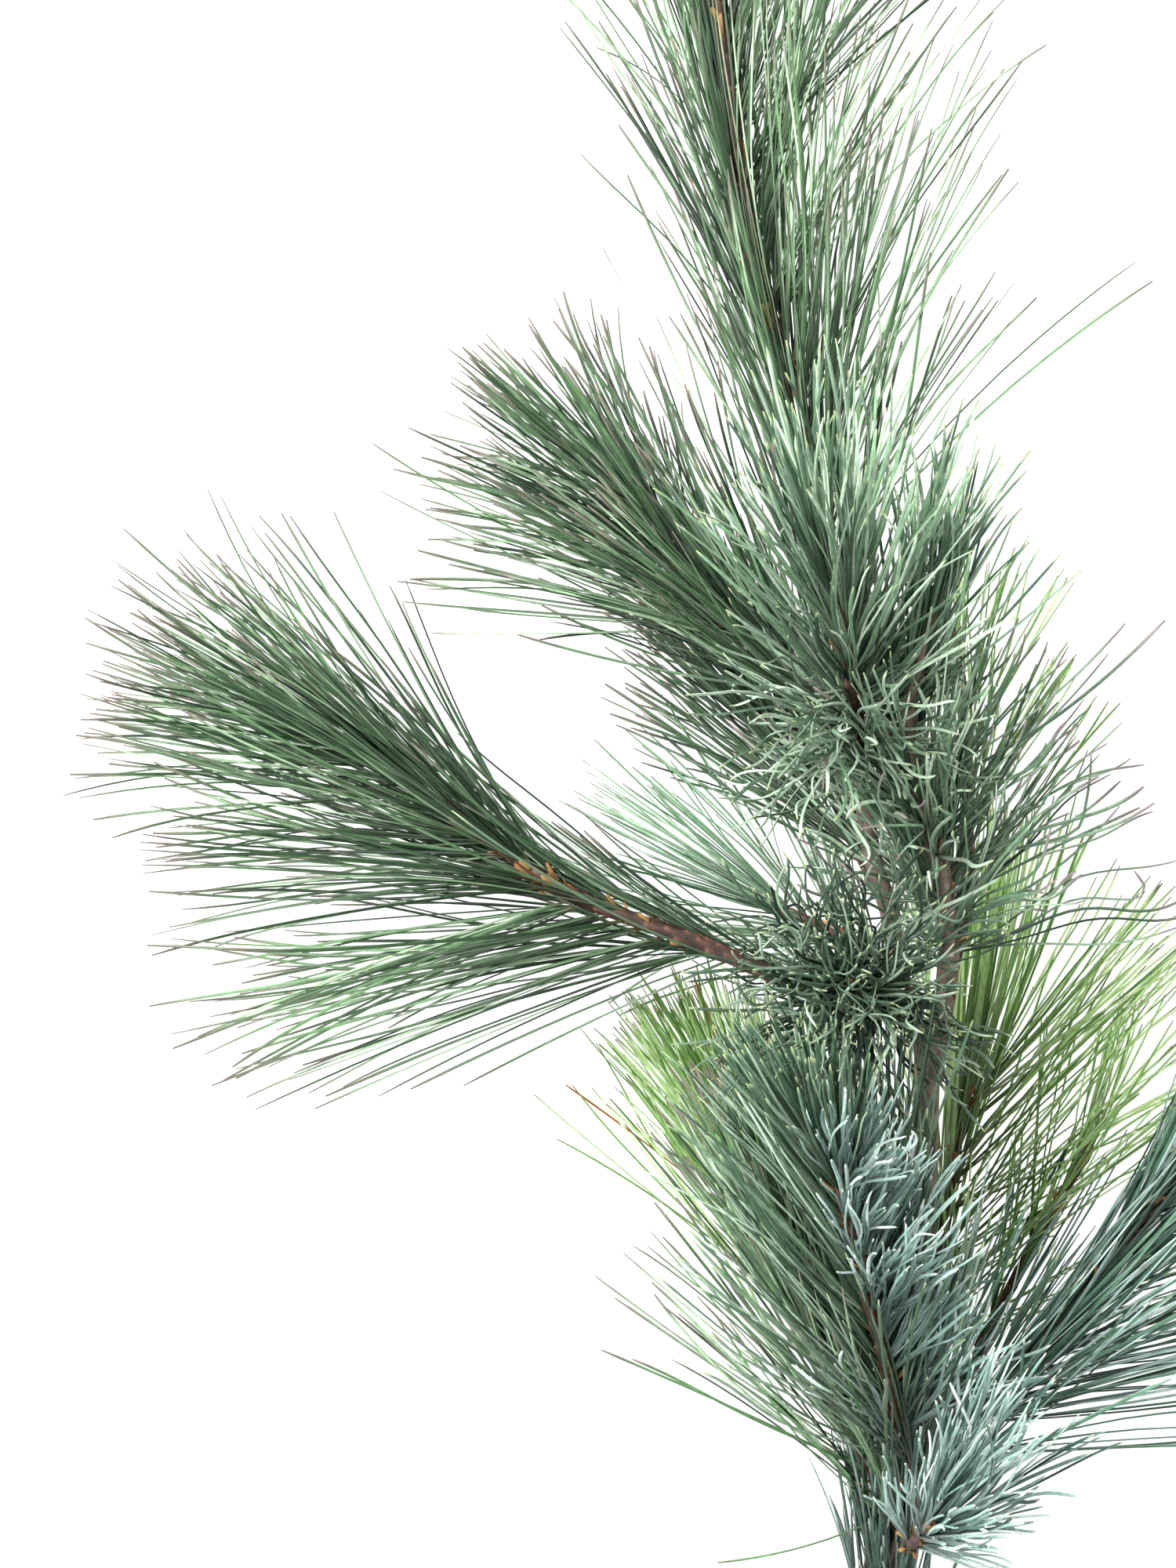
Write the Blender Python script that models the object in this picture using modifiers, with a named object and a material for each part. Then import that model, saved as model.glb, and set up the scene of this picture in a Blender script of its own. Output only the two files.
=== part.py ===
"""
A cut bough of a five-needled pine, lying on a flat surface as it would on a table.

The wood is split at its forks: a stem, its leader and the side twigs are separate pieces,
each with its foot cut to the stem that it grows from.  Every leafy twig carries one clump
of needles: a thin sleeve round the twig, with long pointed locks that grow out of it and
reach as far as the needles do.  Locks that come down to the surface lie flat on it.

X runs across the bough, Y from the cut end to the top shoot, and Z up from the surface.
The origin is on the surface, under the middle of the bough's bounding box.
"""

import math

import bmesh
import bpy
import numpy as np
from mathutils import Vector

# Driving dimensions, in millimetres unless a name says otherwise
MILLIMETRE = 0.001
FIT_GAP = 0.3            # clear space between pieces that touch in the real bough
SLEEVE_GAP = 0.8         # between a twig and the needle sheaths round it
STATION_SPACING = 15.0   # between the cross sections along a twig
THICK_WOOD = 2.15        # wood thicker than this radius is eight-sided, the rest six-sided
BARK_CREASE = 50.0       # degrees: edges of the wood sharper than this are drawn sharp
BUD_LENGTH = 9.0         # the closed bud at the tip of each twig
BUD_PROFILE = ((0.4, 1.35), (0.75, 1.1), (1.0, 0.15))   # shares of its length and the twig's radius
SLEEVE_WALL = 1.3        # the layer of needle sheaths round a twig
SLEEVE_SIDES = 6
SLEEVE_END = 2.0         # bare wood between the last needles and the bud
LOCK_HALF_WIDTH = 2.7    # a lock half way to its tip
LOCK_HALF_DEPTH = 2.3
LOCK_FOOT = 4.0          # a lock's reach round its own line where it leaves the sleeve
LOCK_BEND_AT = 0.45      # share of its length where a lock bends
LOCK_SHARES = (1.0, 0.86, 0.72, 0.58, 0.46)   # lengths that are tried until a lock is clear
NEEDLE_SCATTER = 4.0     # degrees that the outer needles stand further off than "spread" says
END_CLOSENESS = 0.5      # locks at the clump's very tip stand off the twig by this share of the angle
OWN_SLIMNESS = 0.6       # locks of one clump may come this much nearer to each other's middles
OUTSIDE_COSINE = 0.7     # a sleeve face turned away from the twig by less is one of its ends
NEAREST_TRIES = 200      # places along a twig that are compared to find the nearest one
SLEEVE_STATIONS = 6      # places along a sleeve between which its room is kept
LOCK_CLEARANCE = 0.9     # between the locks of two clumps
OWN_CLEARANCE = 0.2      # between two locks of one clump
NEEDLE_DROOP = 0.12      # how far a needle bends down over its length
SPREAD_POWER = 1.3       # how the needles' angle closes from the clump's foot to its tip
SHORTENING_POWER = 3     # how fast shorter needles go over into full-length ones
BOUGH_MIDDLE = (3.2 * MILLIMETRE, 26.2 * MILLIMETRE)   # brings the origin under the box's middle

# Every twig: the points that its centre line passes through, its radius at the foot and at
# the tip, the wood that it grows from, and its needles.  The needles start "start" from the
# twig's foot, are "length" long, and stand off the twig by the two angles in "spread", in
# degrees, at the foot and at the tip of the clump.  "lean" pulls them all one way, as the
# light did, again at the foot and at the tip.  "short" is by what shares the needles at the
# foot and at the tip are shorter.  "rings" is how many rows of locks the clump has.
TWIGS = {
    "main_stem": dict(
        route=[
            (20, -353, 4), (18, -304, 29), (17, -262, 52), (19, -234, 58), (23, -204, 63),
            (28, -164, 67), (29, -114, 70),
        ],
        radius=(4.2, 3.3),
        grows_from=(),
    ),
    "leader_stem": dict(
        route=[(29, -115, 70), (21, -96, 76), (18, -77, 80), (12, -57, 84), (9, -31, 86)],
        radius=(2.7, 2.3),
        grows_from=("main_stem",),
    ),
    "top_shoot": dict(
        route=[
            (9, -32, 86), (3, 3, 88), (-3, 38, 88), (-10, 70, 86), (-19, 101, 83),
            (-24, 134, 79), (-30, 179, 73), (-34, 219, 66),
        ],
        radius=(2.3, 1.6),
        grows_from=("leader_stem",),
        needles=dict(
            start=50, length=108, spread=(27, 25), lean=((0.12, 0, 0), (0.24, 0, 0)),
            short=(0, 0.2), rings=8,
        ),
    ),
    "right_stem": dict(
        route=[
            (30, -120, 69), (34, -93, 78), (32, -69, 86), (27, -51, 96), (21, -37, 108),
            (19, -19, 124), (22, -2, 136),
        ],
        radius=(3.2, 1.8),
        grows_from=("main_stem", "leader_stem"),
        needles=dict(
            start=40, length=90, spread=(44, 15), lean=((0.14, 0.1, 0), (0, 0, 0)),
            short=(0.35, 0.3), rings=6,
        ),
    ),
    "right_back_twig": dict(
        route=[(34, -97, 77), (40, -76, 66), (42, -50, 58), (42, -24, 54), (40, -4, 52)],
        radius=(1.9, 1.3),
        grows_from=("right_stem",),
        needles=dict(
            start=48, length=84, spread=(22, 14), lean=((0, 0, 0), (0, 0, 0)),
            short=(0, 0.2), rings=3,
        ),
    ),
    "upper_left_twig": dict(
        route=[
            (10, -38, 85), (4, -26, 92), (-4, -17, 95), (-18, -3, 94), (-34, 11, 90),
            (-44, 26, 85), (-48, 36, 81),
        ],
        radius=(2.1, 1.5),
        grows_from=("leader_stem", "top_shoot"),
        needles=dict(
            start=24, length=88, spread=(28, 20), lean=((0, 0.02, 0), (-0.26, -0.14, 0)),
            short=(0, 0.42), rings=5,
        ),
    ),
    "upper_front_twig": dict(
        route=[(11, -44, 85), (9, -37, 98), (7, -27, 111), (4, -16, 123), (2, -4, 134), (0, 6, 142)],
        radius=(2.0, 1.5),
        grows_from=("leader_stem", "upper_left_twig"),
        needles=dict(
            start=26, length=84, spread=(36, 13), lean=((0.02, 0, 0), (-0.02, 0, 0)),
            short=(0, 0.2), rings=3,
        ),
    ),
    "left_twig": dict(
        route=[
            (24, -104, 74), (8, -100, 79), (-12, -94, 82), (-33, -85, 81), (-55, -77, 79),
            (-74, -69, 77), (-90, -58, 74), (-101, -50, 72), (-112, -40, 70), (-121, -32, 68),
        ],
        radius=(2.4, 1.5),
        grows_from=("leader_stem",),
        needles=dict(
            start=54, length=116, spread=(25, 23), lean=((0, -0.27, 0), (-0.12, -0.16, 0)),
            short=(0, 0.22), rings=7,
        ),
    ),
    "whorl_twig": dict(
        route=[(22, -97, 76), (12, -96, 90), (7, -95, 106), (4, -93, 122), (3, -92, 137)],
        radius=(1.9, 1.4),
        grows_from=("leader_stem", "left_twig"),
        needles=dict(
            start=26, length=60, spread=(38, 17), lean=((0, 0, 0), (0, 0, 0)),
            short=(0, 0.2), rings=3,
        ),
    ),
    "mid_left_twig": dict(
        route=[(20, -91, 77), (11, -85, 66), (1, -81, 54), (-10, -76, 46)],
        radius=(1.6, 1.2),
        grows_from=("leader_stem", "left_twig"),
        needles=dict(
            start=22, length=88, spread=(20, 17), lean=((0.03, 0.1, 0), (0.02, 0.08, 0)),
            short=(0, 0.2), rings=2,
        ),
    ),
    "mid_back_twig": dict(
        route=[(18, -76, 80), (14, -67, 64), (8, -51, 52), (-2, -33, 44)],
        radius=(1.6, 1.2),
        grows_from=("leader_stem",),
        needles=dict(
            start=22, length=86, spread=(24, 17), lean=((0, 0, 0), (0, 0, 0)),
            short=(0, 0.2), rings=3,
        ),
    ),
    "low_back_left_twig": dict(
        route=[(17, -268, 49), (13, -244, 42), (7, -216, 36), (-1, -190, 31), (-8, -168, 29)],
        radius=(2.1, 1.3),
        grows_from=("main_stem",),
        needles=dict(
            start=28, length=100, spread=(18, 15), lean=((-0.06, 0, 0), (-0.17, 0, 0)),
            short=(0, 0.2), rings=5,
        ),
    ),
    "lower_fork_stem": dict(
        route=[(17, -280, 43), (20, -265, 57), (23, -252, 66), (24, -249, 68)],
        radius=(2.6, 2.4),
        grows_from=("main_stem",),
    ),
    "lower_left_twig": dict(
        route=[
            (23, -253, 66), (18, -239, 71), (11, -227, 75), (5, -213, 79), (-1, -199, 82),
            (-6, -183, 84), (-9, -168, 84),
        ],
        radius=(1.9, 1.3),
        grows_from=("lower_fork_stem",),
        needles=dict(
            start=18, length=83, spread=(23, 13), lean=((0, 0, 0), (0, 0, 0)),
            short=(0, 0.3), rings=4,
        ),
    ),
    "lower_front_twig": dict(
        route=[
            (24, -250, 67), (25, -235, 78), (20, -219, 90), (15, -198, 103), (9, -178, 114),
            (6, -165, 121), (2, -153, 128), (-1, -141, 136),
        ],
        radius=(2.1, 1.4),
        grows_from=("lower_fork_stem", "lower_left_twig"),
        needles=dict(
            start=32, length=76, spread=(24, 18), lean=((-0.03, 0, 0.3), (-0.03, 0, 0.12)),
            short=(0, 0.2), rings=5,
        ),
    ),
    "lower_tuft_twig": dict(
        route=[(23, -255, 64), (23, -252, 78), (23, -248, 91), (24, -244, 102), (25, -240, 111)],
        radius=(1.7, 1.3),
        grows_from=("lower_fork_stem", "lower_left_twig", "lower_front_twig"),
        needles=dict(
            start=24, length=64, spread=(30, 18), lean=((0.12, 0.24, 0), (0.08, 0.14, 0)),
            short=(0, 0.2), rings=2,
        ),
    ),
    "low_right_back_twig": dict(
        route=[(19, -229, 59), (27, -211, 50), (34, -185, 43), (40, -152, 37), (43, -134, 35)],
        radius=(2.0, 1.3),
        grows_from=("main_stem",),
        needles=dict(
            start=34, length=98, spread=(28, 22), lean=((0.42, -0.15, 0), (0.36, -0.12, 0)),
            short=(0, 0.2), rings=4,
        ),
    ),
    "low_right_mid_twig": dict(
        route=[(29, -236, 56), (40, -214, 48), (54, -190, 41), (67, -168, 36), (77, -152, 33)],
        radius=(1.7, 1.3),
        grows_from=("low_right_twig",),
        needles=dict(
            start=26, length=88, spread=(26, 18), lean=((0.14, -0.06, 0), (0.12, -0.06, 0)),
            short=(0, 0.2), rings=4,
        ),
    ),
    "low_right_twig": dict(
        route=[
            (17, -258, 53), (24, -242, 56), (38, -227, 57), (57, -208, 58), (69, -194, 58),
            (79, -181, 57), (90, -166, 56), (104, -150, 53), (118, -132, 49), (127, -118, 45),
        ],
        radius=(2.3, 1.4),
        grows_from=("main_stem",),
        needles=dict(
            start=42, length=108, spread=(27, 17), lean=((0.1, -0.28, 0), (0.12, -0.16, 0)),
            short=(0, 0.2), rings=7,
        ),
    ),
}

# Clumps in the order in which they take their room: the ones that show most come first
CLUMP_ORDER = (
    "top_shoot", "left_twig", "low_right_twig", "upper_left_twig", "right_stem",
    "lower_left_twig", "lower_front_twig", "low_right_back_twig", "low_back_left_twig",
    "whorl_twig", "upper_front_twig", "lower_tuft_twig", "low_right_mid_twig",
    "mid_left_twig", "mid_back_twig", "right_back_twig",
)


def remove_scene_objects():
    for old in list(bpy.data.objects):
        bpy.data.objects.remove(old)


def new_collection(name):
    collection = bpy.data.collections.new(name)
    bpy.context.scene.collection.children.link(collection)
    return collection


def plain_material(name, colour, roughness):
    material = bpy.data.materials.new(name)
    material.use_nodes = True
    shader = material.node_tree.nodes["Principled BSDF"]
    shader.inputs["Base Color"].default_value = (*colour, 1.0)
    shader.inputs["Roughness"].default_value = roughness
    shader.inputs["Metallic"].default_value = 0.0
    return material


def smooth_curve(route, steps=12):
    """Points close together on a smooth curve through the route's own points."""
    route = np.array(route, float)
    before = 2 * route[0] - route[1]
    after = 2 * route[-1] - route[-2]
    held = np.vstack([before, route, after])
    points = []
    for a, b, c, d in zip(held, held[1:], held[2:], held[3:]):
        for t in np.linspace(0, 1, steps, endpoint=False):
            bend = (2 * a - 5 * b + 4 * c - d) * t ** 2 + (3 * b - a - 3 * c + d) * t ** 3
            points.append(0.5 * (2 * b + (c - a) * t + bend))
    points.append(route[-1])
    return np.array(points)


class CentreLine:
    """A twig's centre line, read by the distance along it."""

    def __init__(self, twig):
        self.points = smooth_curve(twig["route"])
        gaps = np.linalg.norm(np.diff(self.points, axis=0), axis=1)
        self.distance = np.concatenate([[0.0], np.cumsum(gaps)])
        self.length = self.distance[-1]
        self.foot_radius, self.tip_radius = twig["radius"]

    def at(self, along):
        return np.array([np.interp(along, self.distance, axis) for axis in self.points.T])

    def heading(self, along):
        ahead = self.at(min(along + 1, self.length))
        behind = self.at(max(along - 1, 0))
        return (ahead - behind) / np.linalg.norm(ahead - behind)

    def radius(self, along):
        return np.interp(along, (0, self.length), (self.foot_radius, self.tip_radius))

    def stations(self, start, end, count):
        along = np.linspace(start, end, count)
        return [self.at(a) for a in along], [self.radius(a) for a in along]


def tube_object(name, points, radii, sides, filled, collection):
    """A bevelled curve through the points, made into a mesh with its ends welded."""
    curve = bpy.data.curves.new(name, "CURVE")
    curve.dimensions = "3D"
    curve.bevel_depth = MILLIMETRE
    curve.bevel_resolution = (sides - 4) // 2
    curve.resolution_u = 1
    curve.render_resolution_u = 0
    curve.use_fill_caps = filled
    spline = curve.splines.new("POLY")
    spline.points.add(len(points) - 1)
    for point, place, radius in zip(spline.points, points, radii):
        point.co = (*(place * MILLIMETRE), 1.0)
        point.radius = radius
    guide = bpy.data.objects.new(name + "_guide", curve)
    collection.objects.link(guide)
    bpy.context.view_layer.update()
    evaluated = guide.evaluated_get(bpy.context.evaluated_depsgraph_get())
    mesh = bpy.data.meshes.new_from_object(evaluated)
    mesh.name = name
    bm = bmesh.new()
    bm.from_mesh(mesh)
    bmesh.ops.remove_doubles(bm, verts=bm.verts, dist=0.01 * MILLIMETRE)
    bmesh.ops.recalc_face_normals(bm, faces=bm.faces)
    bm.to_mesh(mesh)
    bm.free()
    solid = bpy.data.objects.new(name, mesh)
    collection.objects.link(solid)
    solid.matrix_world = guide.matrix_world
    bpy.data.objects.remove(guide)
    return solid


def wood_sides(line):
    return 8 if line.foot_radius > THICK_WOOD else 6


def around(radius, gap, sides):
    """The corner radius of a tube whose flat sides stay that gap outside a round bar."""
    return (radius + gap) / math.cos(math.pi / sides)


def wood_outline(line, has_bud):
    """The stations and radii of a piece of wood, with a bud at its tip if it has one."""
    count = max(3, round(line.length / STATION_SPACING) + 1)
    points, radii = line.stations(0, line.length, count)
    if has_bud:
        heading = line.heading(line.length)
        for share, swell in BUD_PROFILE:
            points.append(line.at(line.length) + heading * BUD_LENGTH * share)
            radii.append(line.tip_radius * swell)
    return points, radii


def make_wood(name, twig, line, collection, material):
    points, radii = wood_outline(line, "needles" in twig)
    wood = tube_object(name, points, radii, wood_sides(line), True, collection)
    wood.data.materials.append(material)
    wood.data.shade_smooth()
    wood.data.set_sharp_from_angle(angle=math.radians(BARK_CREASE))
    return wood


def make_cutter(name, line, collection):
    """The room that a piece of wood takes, with the gap that a foot keeps to it."""
    count = max(3, round(line.length / STATION_SPACING) + 1)
    points, radii = line.stations(0, line.length, count)
    sides = wood_sides(line)
    points[0] = points[0] - line.heading(0) * FIT_GAP
    points[-1] = points[-1] + line.heading(line.length) * FIT_GAP
    grown = [around(radius, FIT_GAP, sides) for radius in radii]
    cutter = tube_object(name + "_room", points, grown, sides, True, collection)
    cutter.hide_render = True
    cutter.display_type = "WIRE"
    return cutter


def cut_foot(wood, cutter):
    cut = wood.modifiers.new("foot", "BOOLEAN")
    cut.operation = "DIFFERENCE"
    cut.object = cutter


class Taken:
    """The room that wood, sleeves and locks already take, as straight tapering rods."""

    def __init__(self):
        self.starts, self.ends, self.start_radii, self.end_radii, self.owners = [], [], [], [], []

    def add(self, owner, points, radii):
        for a, b, ra, rb in zip(points, points[1:], radii, radii[1:]):
            self.starts.append(a)
            self.ends.append(b)
            self.start_radii.append(ra)
            self.end_radii.append(rb)
            self.owners.append(owner)

    def room(self, a, b, ra, rb, chosen):
        """The smallest gap from one tapering rod to the chosen ones already taken."""
        if not np.any(chosen):
            return math.inf
        starts = np.array(self.starts)[chosen]
        spans = np.array(self.ends)[chosen] - starts
        span = b - a
        offset = a - starts
        own = span @ span
        theirs = np.einsum("ij,ij->i", spans, spans)
        along = spans @ span
        c = offset @ span
        f = np.einsum("ij,ij->i", spans, offset)
        skew = np.maximum(own * theirs - along ** 2, 1e-9)
        s = np.clip((along * f - c * theirs) / skew, 0, 1)
        t = np.clip((along * s + f) / theirs, 0, 1)
        s = np.clip((along * t - c) / own, 0, 1)
        apart = offset + s[:, None] * span - t[:, None] * spans
        reach = ra + (rb - ra) * s
        first = np.array(self.start_radii)[chosen]
        last = np.array(self.end_radii)[chosen]
        return np.min(np.linalg.norm(apart, axis=1) - reach - first - (last - first) * t)


def lock_line(root, needles, length):
    """Foot, bend and tip of a lock that leaves the twig at the needles' angle there."""
    foot, axis, outward, share, closeness = root
    wide, narrow = needles["spread"]
    foot_lean, tip_lean = np.array(needles["lean"], float)
    foot_short, tip_short = needles["short"]
    angle = wide + (narrow - wide) * share ** SPREAD_POWER + NEEDLE_SCATTER
    angle = math.radians(angle * closeness)
    first = axis * math.cos(angle) + outward * math.sin(angle)
    first += foot_lean + (tip_lean - foot_lean) * share
    first /= np.linalg.norm(first)
    length *= 1 - tip_short * share ** SHORTENING_POWER
    length *= 1 - foot_short * (1 - share) ** SHORTENING_POWER
    second = first + np.array((0, 0, -2 * NEEDLE_DROOP))
    second /= np.linalg.norm(second)
    bend = foot + first * length * LOCK_BEND_AT
    bend[2] = max(bend[2], LOCK_HALF_DEPTH)
    tip = bend + second * length * (1 - LOCK_BEND_AT)
    tip[2] = max(tip[2], 0.0)
    return foot, bend, tip


def free_line(owner, taken, root, needles):
    """The longest line tried that stays clear of everything already there, or None."""
    owners = np.array(taken.owners)
    own_locks = owners == owner + " lock"
    own_bud = owners == owner + " bud"
    others = (owners != owner) & ~own_locks & ~own_bud
    middle = math.hypot(LOCK_HALF_WIDTH, LOCK_HALF_DEPTH)
    slim = OWN_SLIMNESS * middle
    for share in LOCK_SHARES:
        foot, bend, tip = lock_line(root, needles, needles["length"] * share)
        gaps = (
            taken.room(foot, bend, LOCK_FOOT, middle, others) - LOCK_CLEARANCE,
            taken.room(bend, tip, middle, 0.0, others) - LOCK_CLEARANCE,
            taken.room(foot, bend, SLEEVE_WALL, middle, own_bud) - OWN_CLEARANCE,
            taken.room(bend, tip, slim, 0.0, own_locks) - OWN_CLEARANCE,
            taken.room(bend, tip, middle, 0.0, owners == owner) - OWN_CLEARANCE,
        )
        if min(gaps) > 0:
            return foot, bend, tip
    return None


def grow_lock(bm, face, axis, outward, places):
    """Draws one face of the sleeve out into a four-sided lock that ends in a point."""
    foot, bend, tip = (Vector(place * MILLIMETRE) for place in places)
    axis, outward = Vector(axis), Vector(outward)
    heading = (tip - foot).normalized()
    across = axis.cross(outward).normalized()
    above = (outward - heading * outward.dot(heading)).normalized()
    corners = bmesh.ops.extrude_discrete_faces(bm, faces=[face])["faces"][0]
    for vert in corners.verts:
        from_foot = vert.co - foot
        side = math.copysign(LOCK_HALF_WIDTH * MILLIMETRE, from_foot.dot(across))
        rise = math.copysign(LOCK_HALF_DEPTH * MILLIMETRE, from_foot.dot(outward - axis))
        vert.co = bend + across * side + above * rise
        vert.co.z = max(vert.co.z, 0.0)
    point = bmesh.ops.poke(bm, faces=[corners])["verts"][0]
    point.co = tip


def clump_zone(twig, line):
    return twig["needles"]["start"], line.length - SLEEVE_END


def make_clump(name, owner, twig, line, taken, collection, material):
    """A sleeve of needle sheaths round the twig, with the locks that grow out of it."""
    needles = twig["needles"]
    start, end = clump_zone(twig, line)
    points, radii = line.stations(start, end, needles["rings"] + 1)
    inner = [around(radius, SLEEVE_GAP, SLEEVE_SIDES) for radius in radii]
    sleeve = tube_object(name, points, inner, SLEEVE_SIDES, False, collection)
    wall = sleeve.modifiers.new("wall", "SOLIDIFY")
    wall.thickness = SLEEVE_WALL * MILLIMETRE
    wall.offset = 1.0
    bpy.context.view_layer.update()
    evaluated = sleeve.evaluated_get(bpy.context.evaluated_depsgraph_get())
    shaped = bpy.data.meshes.new_from_object(evaluated)
    sleeve.modifiers.remove(wall)
    bm = bmesh.new()
    bm.from_mesh(shaped)
    bm.normal_update()
    ending, outside = lock_faces(bm, line, start, end)
    for face in ending + outside:
        foot = np.array(face.calc_center_median()) / MILLIMETRE
        along = nearest_along(line, foot, start, end)
        axis = line.heading(along)
        outward = foot - line.at(along)
        outward -= axis * (outward @ axis)
        outward /= np.linalg.norm(outward)
        share = (along - start) / (end - start)
        closeness = END_CLOSENESS if face in ending else 1.0
        root = (foot, axis, outward, share, closeness)
        places = free_line(owner, taken, root, needles)
        if places is None:
            continue
        middle = math.hypot(LOCK_HALF_WIDTH, LOCK_HALF_DEPTH)
        taken.add(owner + " lock", places, (LOCK_FOOT, middle, 0.0))
        grow_lock(bm, face, axis, outward, places)
    bmesh.ops.triangulate(bm, faces=bm.faces)
    bm.to_mesh(sleeve.data)
    bm.free()
    bpy.data.meshes.remove(shaped)
    sleeve.data.materials.append(material)
    return sleeve


def nearest_along(line, place, start, end):
    tries = np.linspace(start, end, NEAREST_TRIES)
    gaps = [np.linalg.norm(line.at(along) - place) for along in tries]
    return tries[int(np.argmin(gaps))]


def lock_faces(bm, line, start, end):
    """The faces of the sleeve's end at the clump's tip, and those on its outside from the foot on."""
    ending, outside = [], []
    tip, tip_heading = line.at(end), line.heading(end)
    for face in bm.faces:
        centre = np.array(face.calc_center_median()) / MILLIMETRE
        normal = np.array(face.normal)
        along = nearest_along(line, centre, start, end)
        away = centre - line.at(along)
        reach = np.linalg.norm(away)
        if normal @ tip_heading > OUTSIDE_COSINE and (centre - tip) @ tip_heading > -SLEEVE_WALL:
            ending.append(face)
        elif normal @ away > OUTSIDE_COSINE * reach:
            if reach > line.radius(along) + SLEEVE_GAP + 0.5 * SLEEVE_WALL:
                outside.append((round(along), face.index, face))
    return ending, [face for _, _, face in sorted(outside, key=lambda entry: entry[:2])]


def build_bough():
    remove_scene_objects()
    bough = new_collection("pine_bough")
    rooms = new_collection("cutters")
    bark = plain_material("bark", (0.13, 0.065, 0.04), 0.85)
    leaf = plain_material("needles", (0.10, 0.21, 0.11), 0.5)
    middle = bpy.data.objects.new("bough_origin", None)
    bough.objects.link(middle)

    lines = {name: CentreLine(twig) for name, twig in TWIGS.items()}
    cutters = {name: make_cutter(name, line, rooms) for name, line in lines.items()}
    taken = Taken()
    pieces = []
    for name, twig in TWIGS.items():
        line = lines[name]
        wood = make_wood(name, twig, line, bough, bark)
        for parent in twig["grows_from"]:
            cut_foot(wood, cutters[parent])
        pieces.append(wood)
        points, radii = wood_outline(line, "needles" in twig)
        taken.add(name, points, radii)
        if "needles" in twig:
            bud = len(BUD_PROFILE) + 1
            taken.add(name + " bud", points[-bud:], radii[-bud:])
    for name in CLUMP_ORDER:
        start, end = clump_zone(TWIGS[name], lines[name])
        points, radii = lines[name].stations(start, end, SLEEVE_STATIONS)
        taken.add(name, points, [radius + SLEEVE_GAP + SLEEVE_WALL for radius in radii])
    for name in CLUMP_ORDER:
        clump_name = name.rsplit("_", 1)[0] + "_needles"
        pieces.append(make_clump(clump_name, name, TWIGS[name], lines[name], taken, bough, leaf))

    for solid in pieces + list(cutters.values()):
        solid.parent = middle
    middle.location = (*BOUGH_MIDDLE, 0.0)
    return pieces


build_bough()
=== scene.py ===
"""
The looks of a cut pine bough that lies on a pale table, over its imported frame.

Every needle is modelled: they grow in bundles of five, spirally round each leafy twig, as closed
three-sided blades with a rounded green outer face and two pale waxy inner faces.  The wood is
modelled with the ridges that the bundles leave, its bud scales, forks and cut end.
Lengths are in millimetres, and X, Y and Z are those of the frame.
"""

import math

import bpy
import numpy as np
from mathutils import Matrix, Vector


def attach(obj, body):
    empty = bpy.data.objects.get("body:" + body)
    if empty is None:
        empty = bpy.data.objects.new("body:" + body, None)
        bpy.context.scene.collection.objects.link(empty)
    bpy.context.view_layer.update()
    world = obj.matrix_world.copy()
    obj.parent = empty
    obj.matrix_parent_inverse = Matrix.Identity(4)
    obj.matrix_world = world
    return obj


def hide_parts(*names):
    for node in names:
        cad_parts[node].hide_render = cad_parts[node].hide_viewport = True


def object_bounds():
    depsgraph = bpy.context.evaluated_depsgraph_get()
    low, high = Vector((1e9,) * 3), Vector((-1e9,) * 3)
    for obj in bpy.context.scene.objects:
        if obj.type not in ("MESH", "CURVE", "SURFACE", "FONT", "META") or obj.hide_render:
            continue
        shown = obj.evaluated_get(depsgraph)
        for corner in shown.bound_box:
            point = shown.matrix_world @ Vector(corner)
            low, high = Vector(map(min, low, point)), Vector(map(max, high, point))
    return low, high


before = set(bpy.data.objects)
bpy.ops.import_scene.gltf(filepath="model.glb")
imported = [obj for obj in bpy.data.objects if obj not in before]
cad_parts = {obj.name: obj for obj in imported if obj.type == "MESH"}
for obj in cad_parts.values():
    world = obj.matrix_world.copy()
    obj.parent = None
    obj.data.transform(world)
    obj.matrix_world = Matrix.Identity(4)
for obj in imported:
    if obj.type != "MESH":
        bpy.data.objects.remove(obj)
CAD_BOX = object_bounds()

MILLIMETRE = 0.001
BOUGH_MIDDLE = (3.2, 26.2, 0.0)  # from the routes below to the frame
CURVE_STEPS = 12  # between two points of a route
LEFT, RIGHT, SOUTH, NORTH, DOWN, UP = (-1, 0, 0), (1, 0, 0), (0, -1, 0), (0, 1, 0), (0, 0, -1), (0, 0, 1)
SEED, WOOD_SEED, SCALE_SEED = 7, 100, 200

# The camera looks straight down on the bough from one metre above the table
CAMERA_PLACE = (-62.8, -13.8, 1000.0)
SENSOR = 36.0
LENS = 76.09

# The stage, in metres and degrees
WHITE = (1.0, 1.0, 1.0)
ROOM_LIGHT = 0.68
TABLE_REACH = 3.0
TABLE_COLOUR = (0.25, 0.25, 0.25)
TABLE_ROUGHNESS = 0.8
TABLE_GLOW = 1.0
LAMP_SIZE = 1.2
LAMP_POWER = 75.0
LAMP_PLACE = (-0.9, 0.7, 1.5)
LAMP_TILT = (-25, -31, 0)

# How bundles stand on a twig
BUNDLE = 5
GOLDEN_TURN = 2.39996
TURN_SCATTER = 0.35
LAST_BUNDLE = 1.5  # from the twig's tip
TERMINAL_REACH = 0.03  # the share of a lot that carries its terminal bundles
UPRIGHT = 0.15  # the sine of the largest angle to Z that counts as upright
FOOT_DEPTH = 0.9  # where needles start, as a share of the twig's radius
SPREAD_POWER = 1.3
ANGLE_LIMITS = (2, 100)
SHORTENING_POWER = 3
CHANCE_LIMIT = 1.9
LONGEST = 0.9  # needles vary less upward in length than downward

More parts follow.
